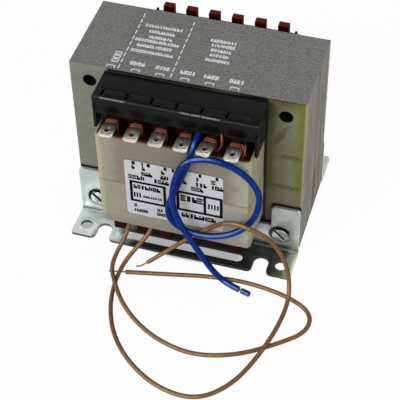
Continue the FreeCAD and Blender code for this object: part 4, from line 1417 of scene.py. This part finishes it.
# Leads
BLUE_ROUTE: list[Point] = [
    (10.3, -35.0, 77.4), (10.3, -43.6, 77.4), (9.2, -46.6, 72.2), (6.0, -46.6, 60.8),
    (1.2, -46.6, 48.4), (-2.2, -47.4, 37.5), (0.4, -48.4, 30.9), (7.2, -48.9, 27.6),
    (16.5, -48.8, 26.6), (27.0, -47.0, 29.0), (35.2, -46.5, 37.4), (39.2, -46.5, 49.0),
    (38.9, -46.6, 59.2), (33.0, -46.9, 67.4), (24.0, -47.6, 72.8), (13.5, -49.3, 74.4),
    (6.2, -50.0, 69.6), (2.3, -50.1, 57.5), (1.4, -50.8, 46.5), (4.6, -52.0, 35.4),
    (12.6, -52.2, 21.5), (17.4, -51.5, 11.6), (21.4, -50.9, 4.9), (27.2, -51.9, 1.42),
    (32.4, -53.4, 1.42),
]
BROWN_ROUTE_1: list[Point] = [
    (-22.5, -41.7, 19.8), (-22.5, -41.7, 14.6), (-24.6, -46.2, 8.8), (-26.3, -51.6, 5.4),
    (-26.2, -58.4, 3.7), (-22.4, -65.6, 3.5), (-15.6, -75.4, 2.2), (-5.2, -84.2, 1.0),
    (8.0, -91.0, 1.0), (24.0, -93.9, 1.0), (42.0, -88.4, 1.0), (57.0, -77.6, 1.0),
    (67.0, -68.4, 1.0), (66.8, -57.7, 1.0), (55.0, -51.2, 1.0), (36.0, -47.9, 1.0),
    (17.0, -49.2, 1.0), (-1.5, -53.4, 1.0), (-20.0, -57.1, 1.0),
]
BROWN_ROUTE_2: list[Point] = [
    (-11.9, -41.7, 19.8), (-11.9, -41.7, 15.4), (-16.2, -46.4, 9.8), (-20.6, -52.2, 5.0),
    (-22.3, -58.8, 2.6), (-22.5, -66.4, 1.0), (-20.0, -78.6, 1.0), (-13.6, -92.6, 1.0),
    (-2.0, -105.4, 1.0), (14.6, -114.8, 1.0), (31.5, -115.8, 1.0), (43.6, -104.6, 1.6),
    (50.6, -88.5, 3.2), (54.8, -70.6, 3.5), (55.8, -56.0, 3.8), (54.2, -48.8, 9.8),
    (51.8, -48.0, 20.5), (45.6, -48.6, 33.0), (36.0, -50.6, 39.6), (26.4, -48.6, 39.0),
    (18.0, -46.3, 31.2), (6.5, -46.0, 19.6), (-3.0, -47.1, 9.8), (-9.0, -48.8, 4.4),
    (-11.8, -50.0, 2.4),
]


@dataclass
class Lead:
    """A free lead: a sleeve on a smooth route, with bare strands at its cut end."""

    name: str
    route: list[Point]
    diameter: float
    length: float
    bare_length: float
    strand_count: int = 5
    strand_radius: float = 0.14
    slugged: bool = False
    twist: float = 1.6

    SLUG_PROFILE: ClassVar[tuple[Pair, ...]] = (
        (0.0, 0.55), (0.06, 0.93), (0.3, 1.0), (0.5, 0.97), (1.6, 1.0), (2.5, 0.96), (3.6, 1.0),
        (4.1, 0.96), (4.34, 0.8), (4.4, 0.45))
    SLUG_SIDES: ClassVar[int] = 24

    def end_frame(self) -> tuple[Vector, Vector, Vector, Vector]:
        """The cut end's place, its direction and two directions across it.

        Returns:
            The place, the direction and the two directions across it.
        """
        last, before = Vector(self.route[-1]), Vector(self.route[-2])
        along = (last - before).normalized()
        side = along.cross(Vector((0.0, 0.0, 1.0))).normalized()
        return last, along, side, side.cross(along)

    def strands(self, palette: Palette) -> Object:
        """Twisted bare strands past the sleeve's end.

        Args:
            palette: The finishes.

        Returns:
            The strands' piece.
        """
        place, along, side, up = self.end_frame()
        name = f"{self.name}_strands"
        curve = wire_curve(name, self.strand_radius, resolution=2)
        ring = self.strand_radius * (1.0 / math.sin(math.pi / self.strand_count)) * 0.9
        lowest = ring + self.strand_radius + 0.05
        steps = max(6, int(self.bare_length * 4))
        for start in turns_round(self.strand_count):
            spline = curve.splines.new("POLY")
            spline.points.add(steps)
            for index, knot in enumerate(spline.points):
                reach = index / steps * self.bare_length
                turn = start + reach / self.twist
                offset = side * (math.cos(turn) * ring) + up * (math.sin(turn) * ring)
                middle = place + along * reach
                middle.z = max(middle.z, lowest)
                knot.co = (*((middle + offset) * MM), 1.0)
        return dress(settled(new_piece(name, curve)), palette.strand, [name])

    def slug(self, material: Material) -> Object:
        """The cut piece of sleeve that is left on the strands' end, a little uneven all round.

        Args:
            material: The finish.

        Returns:
            The slug's piece.
        """
        place, along, side, up = self.end_frame()
        start = place + along * self.bare_length
        rings = []
        for reach, share in self.SLUG_PROFILE:
            ring = []
            for turn in turns_round(self.SLUG_SIDES):
                wobble = 1.0 - 0.05 * (0.5 + 0.5 * math.sin(3 * turn + reach))
                arm = (self.diameter / 2 - 0.03) * share * wobble
                across = side * (math.cos(turn) * arm) + up * (math.sin(turn) * arm)
                ring.append(start + along * reach + across)
            rings.append(ring)
        name = f"{self.name}_slug"
        return dress(ringed_piece(name, rings, closed=False, angle=50.0), material, [name])

    def build(self, palette: Palette, material: Material, slot: Slot) -> Object:
        """Args:
            palette: The finishes.
            material: The finish.
            slot: The record's material slot; not used.

        Returns:
            The sleeve's piece.
        """
        piece = tube_piece(self.name + "_sleeve", self.route, self.diameter / 2)
        dress(piece, material, [self.name])
        others = [self.strands(palette)]
        if self.slugged:
            others.append(self.slug(material))
        LOG.info("%s: %.0f mm long", piece.name, self.length)
        return piece


@dataclass
class Leads:
    """The blue lead and the two brown ones."""

    blue: Lead = field(default_factory=lambda: Lead(
        "blue_lead", BLUE_ROUTE, diameter=2.8, length=239.6, bare_length=1.2, strand_count=6,
        strand_radius=0.17, slugged=True))
    brown: tuple[Lead, Lead] = field(default_factory=lambda: (
        Lead("brown_lead_1", BROWN_ROUTE_1, diameter=2.0, length=239.7, bare_length=7.6),
        Lead("brown_lead_2", BROWN_ROUTE_2, diameter=2.0, length=290.6, bare_length=6.4)))

    def build(self, palette: Palette) -> None:
        """Make all three.

        Args:
            palette: The finishes.
        """
        self.blue.build(palette, palette.blue, Slot.BLUE)
        for lead in self.brown:
            lead.build(palette, palette.brown, Slot.BROWN)


# Core
@dataclass
class Core:
    """The stack of thin sheets and the white print on its top."""

    packets: int = 8
    sheets_per_packet: int = 11
    pitch: float = 0.5
    thickness: float = 0.46
    trim: float = 0.05
    aside: Point = (0.045, 0.0, 0.018)
    half_width: float = 52.5
    low: float = 2.0
    high: float = 89.5
    window_inner: float = 17.5
    window_outer: float = 35.0
    window_low: float = 19.5
    window_high: float = 72.0
    hole_inset: float = 8.75
    hole_radius: float = 2.9
    front: float = -22.0
    joint_gap: float = 0.05
    merge: float = 1e-7
    hole_facets: int = 28
    print_height: float = 1.9
    guide_dashes: int = 10
    guide_start: float = -20.6
    guide_length: float = 40.0
    short_rise: float = -15.8
    box_rise: float = -19.5

    GUIDES: ClassVar[tuple[Pair, ...]] = ((-30.6, -31.2), (-7.3, -8.2))
    LEFT_BLOCK: ClassVar[tuple[Point, ...]] = (
        (-28.2, -11.1, 10.6), (-25.8, -13.6, 6.8), (-24.5, -14.0, 3.1),
        (-29.8, -9.4, 0.2), (-27.9, -11.4, -3.4), (-29.2, -10.4, -7.3))
    RIGHT_BLOCK: ClassVar[tuple[Point, ...]] = (
        (2.1, 14.7, 8.1), (3.5, 14.2, 5.1), (4.1, 13.1, 1.7), (4.6, 12.7, -1.6), (3.6, 13.9, -5.0))
    SHORT_ROWS: ClassVar[tuple[Pair, ...]] = (
        (-26.7, -19.6), (-15.3, -9.1), (-4.3, 1.9), (5.9, 13.0), (17.4, 24.4))
    BOXES: ClassVar[tuple[float, ...]] = (-34.1, -23.0, -12.1, -1.0, 9.9, 20.8)

    def outline(self, yoke_up: bool) -> list[tuple[list[Pair], list[Pair]]]:
        """The corners and hole centres of the E and the I sheet.

        Args:
            yoke_up: Whether the E sheet's back lies at the top.

        Returns:
            Corners and hole centres for each of the two.
        """
        x, low, high = self.half_width - self.trim, self.low + self.trim, self.high - self.trim
        joint = self.window_low if yoke_up else self.window_high
        gap = self.joint_gap if yoke_up else -self.joint_gap
        end = joint + gap
        back, far = (self.window_high, high) if yoke_up else (self.window_low, low)
        near = low if yoke_up else high
        inner, outer = self.window_inner, self.window_outer
        e_sheet = [(-x, end), (-outer, end), (-outer, back), (-inner, back), (-inner, end), (inner, end),
                   (inner, back), (outer, back), (outer, end), (x, end), (x, far), (-x, far)]
        i_sheet = [(-x, near), (x, near), (x, joint - gap), (-x, joint - gap)]
        upper, lower = self.high - self.hole_inset, self.low + self.hole_inset
        e_hole, i_hole = (upper, lower) if yoke_up else (lower, upper)
        return [(e_sheet, [(-SCREW_X, e_hole), (SCREW_X, e_hole)]),
                (i_sheet, [(-SCREW_X, i_hole), (SCREW_X, i_hole)])]

    def sheet(self, name: str, yoke_up: bool, depth: float) -> Object:
        """One E sheet and its I sheet, at the front of a packet.

        Args:
            name: The name to give it.
            yoke_up: Whether the E sheet's back lies at the top.
            depth: The packet's front face, in millimetres.

        Returns:
            The sheet's piece.
        """
        curve = bpy.data.curves.new(name, "CURVE")
        curve.dimensions = "2D"
        curve.fill_mode = "BOTH"
        curve.extrude = self.thickness / 2 * MM
        for corners, holes in self.outline(yoke_up):
            self._spline(curve, corners)
            for centre_x, centre_z in holes:
                self._spline(curve, [(centre_x + self.hole_radius * math.cos(turn),
                                      centre_z + self.hole_radius * math.sin(turn))
                                     for turn in turns_round(self.hole_facets)])
        piece = settled(new_piece(name, curve))
        upright = Matrix.Rotation(math.pi / 2, 4, "X")
        piece.data.transform(Matrix.Translation((0.0, (depth + self.pitch / 2) * MM, 0.0)) @ upright)
        form = bmesh.new()
        form.from_mesh(piece.data)
        bmesh.ops.remove_doubles(form, verts=form.verts, dist=self.merge)
        bmesh.ops.recalc_face_normals(form, faces=form.faces)
        form.to_mesh(piece.data)
        form.free()
        return piece

    @staticmethod
    def _spline(curve: Curve, corners: Sequence[Pair]) -> None:
        """Add a closed straight-edged outline.

        Args:
            curve: The curve to add to.
            corners: The outline's corners in millimetres.
        """
        spline = curve.splines.new("POLY")
        spline.points.add(len(corners) - 1)
        for knot, (x, y) in zip(spline.points, corners):
            knot.co = (x * MM, y * MM, 0.0, 1.0)
        spline.use_cyclic_u = True

    def build(self, palette: Palette, marks: MarkGrowth) -> None:
        """Grow the packets and print the top.

        Args:
            palette: The finishes.
            marks: The tree that makes print bars.
        """
        growth = RowGrowth("sheet_stack")
        for index in range(self.packets):
            depth = self.front + index * self.pitch * self.sheets_per_packet
            piece = self.sheet(f"core_sheets_{index + 1}", index % 2 == 0, depth)
            growth.grow(piece, {"Count": self.sheets_per_packet, "Pitch": self.pitch * MM,
                                "Aside": [value * MM for value in self.aside], "Seed": index,
                                "Finish": palette.core})
            dress(piece, palette.core,
                  [f"e_lamination_packet_{index + 1}", f"i_lamination_packet_{index + 1}"])
        self.print_top(palette, marks)

    def print_top(self, palette: Palette, marks: MarkGrowth) -> None:
        """White guide lines, two blocks of small print, and six open boxes with a short row each.

        Args:
            palette: The finishes.
            marks: The tree that makes print bars.
        """
        ink = Printing(upright=False, level=self.high - 0.03, depth=0.045, seed=7, weight=1.12)
        for near_x, far_x in self.GUIDES:
            for step in range(self.guide_dashes):
                share = (step + 0.35) / self.guide_dashes
                ink.bar(near_x + (far_x - near_x) * share, self.guide_start + self.guide_length * share,
                        0.5, 2.7)
        for left, right, rise in self.LEFT_BLOCK + self.RIGHT_BLOCK:
            ink.row(left, right, rise, self.print_height)
        for left, right in self.SHORT_ROWS:
            ink.row(left, right, self.short_rise, 2.3)
        for middle in self.BOXES:
            ink.bar(middle, self.box_rise, 3.9, 0.5)
            for side in (-1.75, 1.75):
                ink.bar(middle + side, self.box_rise - 0.8, 0.45, 1.4)
        for step in range(3):
            ink.outline(-34.9, -11.8 - step * 2.5, -32.2, -10.2 - step * 2.5, 0.6)
        dress(ink.piece("core_print", marks, palette.white_ink), palette.white_ink)


# Coil
@dataclass
class Coil:
    """The former, the tape round the coil, and the label with its marks."""

    half_x: float = 34.7
    half_y: float = 44.7
    wall: float = 1.0
    radius: float = 1.7
    low: float = 19.8
    high: float = 71.7
    seam: float = 45.3
    corner_steps: int = 12
    spacing: float = 2.4
    edge_sink: float = 0.22
    seam_sink: float = 0.16
    wave_sink: float = 0.14
    calm_edge: float = 4.0
    former_easing: float = 0.16
    label_easing: float = 0.03
    label_front: float = -44.85
    tick_rise: float = 59.4

    LEFT_FRAME: ClassVar[tuple[float, ...]] = (-19.0, 36.4, -3.7, 48.0, 1.3)
    RIGHT_FRAME: ClassVar[tuple[float, ...]] = (2.3, 36.6, 21.9, 47.4, 1.35)
    TICKS: ClassVar[tuple[Pair, ...]] = (
        (-17.3, 1.5), (-13.2, 0.75), (-10.5, 1.5), (-2.9, 1.375), (0.6, 1.125), (12.6, 1.25), (20.1, 1.25))
    UPPER_ROWS: ClassVar[tuple[tuple[float, float, tuple[Pair, ...]], ...]] = (
        (56.9, 2.4, ((-18.1, -16.8), (-13.4, -11.6), (-4.8, -2.6), (10.7, 12.9), (17.7, 20.0))),
        (53.8, 2.5, ((-13.8, -7.8), (-5.2, -1.0), (5.0, 6.6), (10.5, 15.4), (17.6, 22.2))),
        (50.8, 2.5, ((-19.8, -13.0), (-8.4, -1.6), (8.7, 13.5))))
    LOWER_ROWS: ClassVar[tuple[tuple[float, float, float, float], ...]] = (
        (-18.1, -16.6, 33.4, 1.9), (-7.4, -4.6, 32.9, 1.9), (-18.3, -12.2, 30.4, 1.9),
        (-7.6, -3.8, 30.3, 1.9), (3.8, 19.4, 33.4, 2.7))

    def ring(self, inset: float) -> list[Pair]:
        """A rounded rectangle, going round with evenly spaced points.

        Args:
            inset: How far inside the outer face, in millimetres.

        Returns:
            The ring's points in millimetres.
        """
        half_x, half_y, radius = self.half_x - inset, self.half_y - inset, max(self.radius - inset, 0.5)
        points: list[Pair] = []
        for corner, (sign_x, sign_y) in enumerate(((1, 1), (-1, 1), (-1, -1), (1, -1))):
            centre_x, centre_y = sign_x * (half_x - radius), sign_y * (half_y - radius)
            for step in range(self.corner_steps + 1):
                turn = math.pi / 2 * (corner + step / self.corner_steps)
                points.append((centre_x + radius * math.cos(turn), centre_y + radius * math.sin(turn)))
        full: list[Pair] = []
        for first, second in zip(points, points[1:] + points[:1]):
            count = max(1, int(math.dist(first, second) / self.spacing))
            full += [(first[0] + (second[0] - first[0]) * step / count,
                      first[1] + (second[1] - first[1]) * step / count) for step in range(count)]
        return full

    def heights(self) -> list[float]:
        """The heights of the tape's rings, close together at its edges and at the seam.

        Returns:
            The heights in millimetres.
        """
        lower, upper = self.low + 0.6, self.seam + 0.15
        return [self.low, self.low + 0.12, lower,
                *(lower + (self.seam - 0.2 - lower) * step / 10 for step in range(1, 11)),
                self.seam - 0.05, upper,
                *(upper + (self.high - 0.6 - upper) * step / 10 for step in range(1, 11)),
                self.high - 0.12, self.high]

    def pressed(self, x: float, y: float, height: float) -> Point:
        """A point of the tape, sunk in at its edges and above the seam, and a little uneven.

        Args:
            x: The point's X on the outer ring, in millimetres.
            y: The point's Y on the outer ring, in millimetres.
            height: The ring's height, in millimetres.

        Returns:
            The point in millimetres.
        """
        sunk = self.edge_sink if height in (self.low, self.high) else 0.0
        if height >= self.seam:
            sunk += self.seam_sink
        wave = noise.noise(Vector((x * 0.06, y * 0.06, height * 0.11)))
        edge = min(1.0, (height - self.low) / self.calm_edge, (self.high - height) / self.calm_edge)
        sunk += self.wave_sink * (0.5 + 0.5 * wave) * max(edge, 0.0)
        outward = Vector((x, y)).normalized()
        return x - outward.x * sunk, y - outward.y * sunk, height

    def wrap(self, palette: Palette) -> None:
        """The tape: two wide turns with a seam between them, a little uneven.

        Args:
            palette: The finishes.
        """
        outer, inner = self.ring(0.0), self.ring(self.wall)
        count = min(len(outer), len(inner))
        outer, inner = self._resampled(outer, count), self._resampled(inner, count)
        rings = [[self.pressed(x, y, height) for x, y in outer] for height in self.heights()]
        rings += [[(x, y, height) for x, y in inner] for height in (self.high, self.low)]
        piece = ringed_piece("coil_wrap", rings, closed=True, angle=40.0)
        dress(piece, palette.tape, ["outer_wrap"])

    @staticmethod
    def _resampled(points: list[Pair], count: int) -> list[Pair]:
        """The same closed line with a given number of points, evenly along its length.

        Args:
            points: The closed line.
            count: How many points.

        Returns:
            The new points.
        """
        lengths = [0.0]
        loop = points + points[:1]
        for first, second in zip(loop, loop[1:]):
            lengths.append(lengths[-1] + math.dist(first, second))
        total, at = lengths[-1], 0
        result = []
        for step in range(count):
            want = total * step / count
            while lengths[at + 1] < want:
                at += 1
            share = (want - lengths[at]) / max(lengths[at + 1] - lengths[at], 1e-9)
            (x0, y0), (x1, y1) = loop[at], loop[at + 1]
            result.append((x0 + (x1 - x0) * share, y0 + (y1 - y0) * share))
        return result

    def label_marks(self, palette: Palette, marks: MarkGrowth) -> None:
        """Black ticks, two framed boxes and rows of small print on the label.

        Args:
            palette: The finishes.
            marks: The tree that makes print bars.
        """
        ink = Printing(upright=True, level=self.label_front - 0.012, depth=0.024, seed=3, weight=1.36)
        for middle, width in self.TICKS:
            ink.bar(middle, self.tick_rise, width, 2.0)
        for rise, height, places in self.UPPER_ROWS:
            for left, right in places:
                ink.row(left, right, rise, height)
        ink.outline(*self.LEFT_FRAME)
        ink.row(-17.8, -5.0, 45.2, 2.4)
        for step in range(3):
            ink.bar(-17.6 + step * 1.25, 40.1, 0.8, 2.9)
        ink.row(-13.6, -5.2, 39.8, 1.5)
        ink.outline(*self.RIGHT_FRAME)
        ink.bar(14.5, 42.0, 1.2, 10.4)
        ink.row(3.8, 12.6, 43.9, 3.6)
        for step in range(4):
            ink.bar(16.3 + step * 1.35, 41.8, 0.75, 3.2 - 0.5 * (step % 2))
        for row in self.LOWER_ROWS:
            ink.row(*row)
        dress(ink.piece("label_marks", marks, palette.black_ink), palette.black_ink)

    def build(self, palette: Palette, marks: MarkGrowth) -> None:
        """Make the former, the tape and the label.

        Args:
            palette: The finishes.
            marks: The tree that makes print bars.
        """
        eased_copy("coil_former", self.former_easing, 2, palette.former)
        self.wrap(palette)
        eased_copy("rating_label", self.label_easing, 1, palette.label)
        self.label_marks(palette, marks)


# Terminals
@dataclass
class Terminals:
    """The cover, the push-on tabs and the wire turns on their necks."""

    count: int = 6
    pitch: float = 10.9
    root_y: float = -38.5
    tab_low: float = 76.6
    tab_high: float = 77.4
    bent_index: int = 4
    bent_angle: float = -7.0
    wire_radius: float = 0.34
    neck_half: float = 1.95
    turns: int = 3
    turn_pitch: float = 0.72
    hole_y: float = -8.4
    cover_easing: float = 0.28
    tab_easing: float = 0.14
    rim_sides: int = 28

    RIM_PROFILE: ClassVar[tuple[Pair, ...]] = (
        (0.86, 0.0), (0.9, 0.16), (1.05, 0.2), (1.35, 0.1), (1.55, 0.0))
    LOOSE_WIRES: ClassVar[dict[str, tuple[float, list[Point]]]] = {
        "wire_loop": (0.45, [
            (18.6, -41.0, 71.9), (19.2, -41.3, 72.6), (20.6, -41.3, 74.4), (21.2, -41.0, 77.0),
            (20.9, -40.4, 79.4), (20.5, -38.9, 80.6), (20.4, -37.6, 79.0), (20.6, -37.2, 72.0)]),
        "side_wire_1": (0.3, [
            (31.6, -40.8, 71.9), (31.2, -41.6, 74.6), (30.9, -42.2, 77.2), (29.9, -41.4, 78.9)]),
        "side_wire_2": (0.3, [
            (30.2, -42.4, 71.9), (30.9, -42.9, 74.0), (31.6, -42.2, 76.8), (31.2, -40.8, 78.4)])}

    def at(self, index: int, place: Point) -> Point:
        """Move a point from a tab's own frame to the transformer's.

        Args:
            index: The tab's number, from 0.
            place: A point in the tab's own frame.

        Returns:
            The point in the transformer's frame.
        """
        turn = math.radians(self.bent_angle) if index == self.bent_index else 0.0
        x, y, z = place
        root_x = (index - (self.count - 1) / 2) * self.pitch
        return (root_x + x * math.cos(turn) - y * math.sin(turn),
                self.root_y + x * math.sin(turn) + y * math.cos(turn), z)

    def hole_places(self) -> tuple[Pair, ...]:
        """Where the tabs' holes lie, seen from above."""
        return tuple(self.at(index, (0.0, self.hole_y, 0.0))[:2] for index in range(self.count))

    def wire(self, index: int, palette: Palette) -> None:
        """The lead-out wire: up from the flange and round the neck.

        Args:
            index: The tab's number, from 0.
            palette: The finishes.
        """
        reach = self.neck_half + self.wire_radius + 0.06
        over = self.tab_high + self.wire_radius + 0.05
        under = self.tab_low - self.wire_radius - 0.05
        line: list[Point] = [(reach + 0.1, -2.4, 71.95), (reach + 0.15, -2.3, 73.6),
                             (reach + 0.1, -1.9, 75.3)]
        for turn in range(self.turns):
            step = -1.75 - turn * self.turn_pitch
            line += [(reach, step, self.tab_low + 0.2), (reach - 0.1, step, over),
                     (0.0, step - 0.1, over + 0.02), (-reach + 0.1, step - 0.2, over),
                     (-reach, step - 0.25, self.tab_low + 0.3),
                     (-reach + 0.1, step - 0.3, under), (0.0, step - 0.4, under - 0.02),
                     (reach - 0.1, step - 0.5, under)]
        tube = tube_piece(f"lead_out_turns_{index + 1}", [self.at(index, spot) for spot in line],
                          self.wire_radius)
        dress(settled(tube), palette.turns, [f"lead_out_wire_{index + 1}"])

    def punched_rim(self, index: int, palette: Palette) -> None:
        """The raised rim that the punch left round a tab's hole.

        Args:
            index: The tab's number, from 0.
            palette: The finishes.
        """
        rings = [[self.at(index, (radius * math.cos(turn), self.hole_y + radius * math.sin(turn),
                                  self.tab_high + rise)) for turn in turns_round(self.rim_sides)]
                 for radius, rise in self.RIM_PROFILE]
        piece = ringed_piece(f"tab_rim_{index + 1}", rings, closed=True, angle=60.0)
        dress(piece, palette.tin)

    def build(self, palette: Palette) -> None:
        """Make the cover, the tabs with the wires on their necks, and the loose wires beside them.

        Args:
            palette: The finishes.
        """
        eased_copy("terminal_cover", self.cover_easing, 3, palette.cover)
        for index in range(self.count):
            eased_copy(f"terminal_tab_{index + 1}", self.tab_easing, 2, palette.tin)
            self.punched_rim(index, palette)
            self.wire(index, palette)
        for name, (radius, line) in self.LOOSE_WIRES.items():
            dress(settled(tube_piece(name, line, radius)), palette.copper)


# Brackets and screws
@dataclass
class Mounting:
    """The two bent brackets and the screws that clamp them to the core."""

    thread_pitch: float = 0.8
    thread_start: float = 28.9
    thread_profile: tuple[Pair, ...] = ((-0.34, 2.42), (0.0, 2.64), (0.34, 2.42))
    thread_sides: int = 32
    ridges: int = 2
    bracket_easing: float = 0.22

    EASING: ClassVar[tuple[tuple[str, float, int], ...]] = (
        ("clamp_screw", 0.5, 4), ("clamp_washer", 0.12, 2), ("clamp_nut", 0.35, 3))

    def thread(self, name: str, centre_x: float, growth: RowGrowth, palette: Palette) -> None:
        """The end of a screw's thread past its nut.

        Args:
            name: The name to give it.
            centre_x: The screw's X, in millimetres.
            growth: The tree that repeats the ridge.
            palette: The finishes.
        """
        rings = [[(centre_x + radius * math.cos(turn), self.thread_start + reach,
                   SCREW_Z + radius * math.sin(turn)) for turn in turns_round(self.thread_sides)]
                 for reach, radius in self.thread_profile]
        ridge = ringed_piece(name, rings, closed=False, angle=35.0)
        growth.grow(ridge, {"Count": self.ridges, "Pitch": self.thread_pitch * MM, "Finish": palette.screw})
        dress(ridge, palette.screw)

    def build(self, palette: Palette) -> None:
        """Make the brackets, screws, washers and nuts.

        Args:
            palette: The finishes.
        """
        for node in ("front_bracket", "rear_bracket"):
            eased_copy(node, self.bracket_easing, 2, palette.zinc)
        growth = RowGrowth("thread_ridges")
        for number, centre_x in ((1, -SCREW_X), (2, SCREW_X)):
            self.thread(f"screw_thread_{number}", centre_x, growth, palette)
            for kind, width, segments in self.EASING:
                eased_copy(f"{kind}_{number}", width, segments, palette.screw)


def line_hidden_solids(palette: Palette) -> None:
    """Finish the solids that stay: the windings and the film between them.

    Args:
        palette: The finishes.
    """
    for node, material in (("primary_winding", palette.copper), ("secondary_winding", palette.copper),
                           ("winding_insulation", palette.film)):
        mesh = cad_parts[node].data
        mesh.materials.clear()
        mesh.materials.append(material)


def main() -> None:
    """Build the scene in order."""
    logging.basicConfig(level=logging.INFO, format="%(name)s: %(message)s")
    Studio().build()
    palette = Palette()
    Leads().build(palette)
    marks = MarkGrowth()
    Core().build(palette, marks)
    Coil().build(palette, marks)
    Terminals().build(palette)
    Mounting().build(palette)
    line_hidden_solids(palette)


if __name__ == "__main__":
    main()
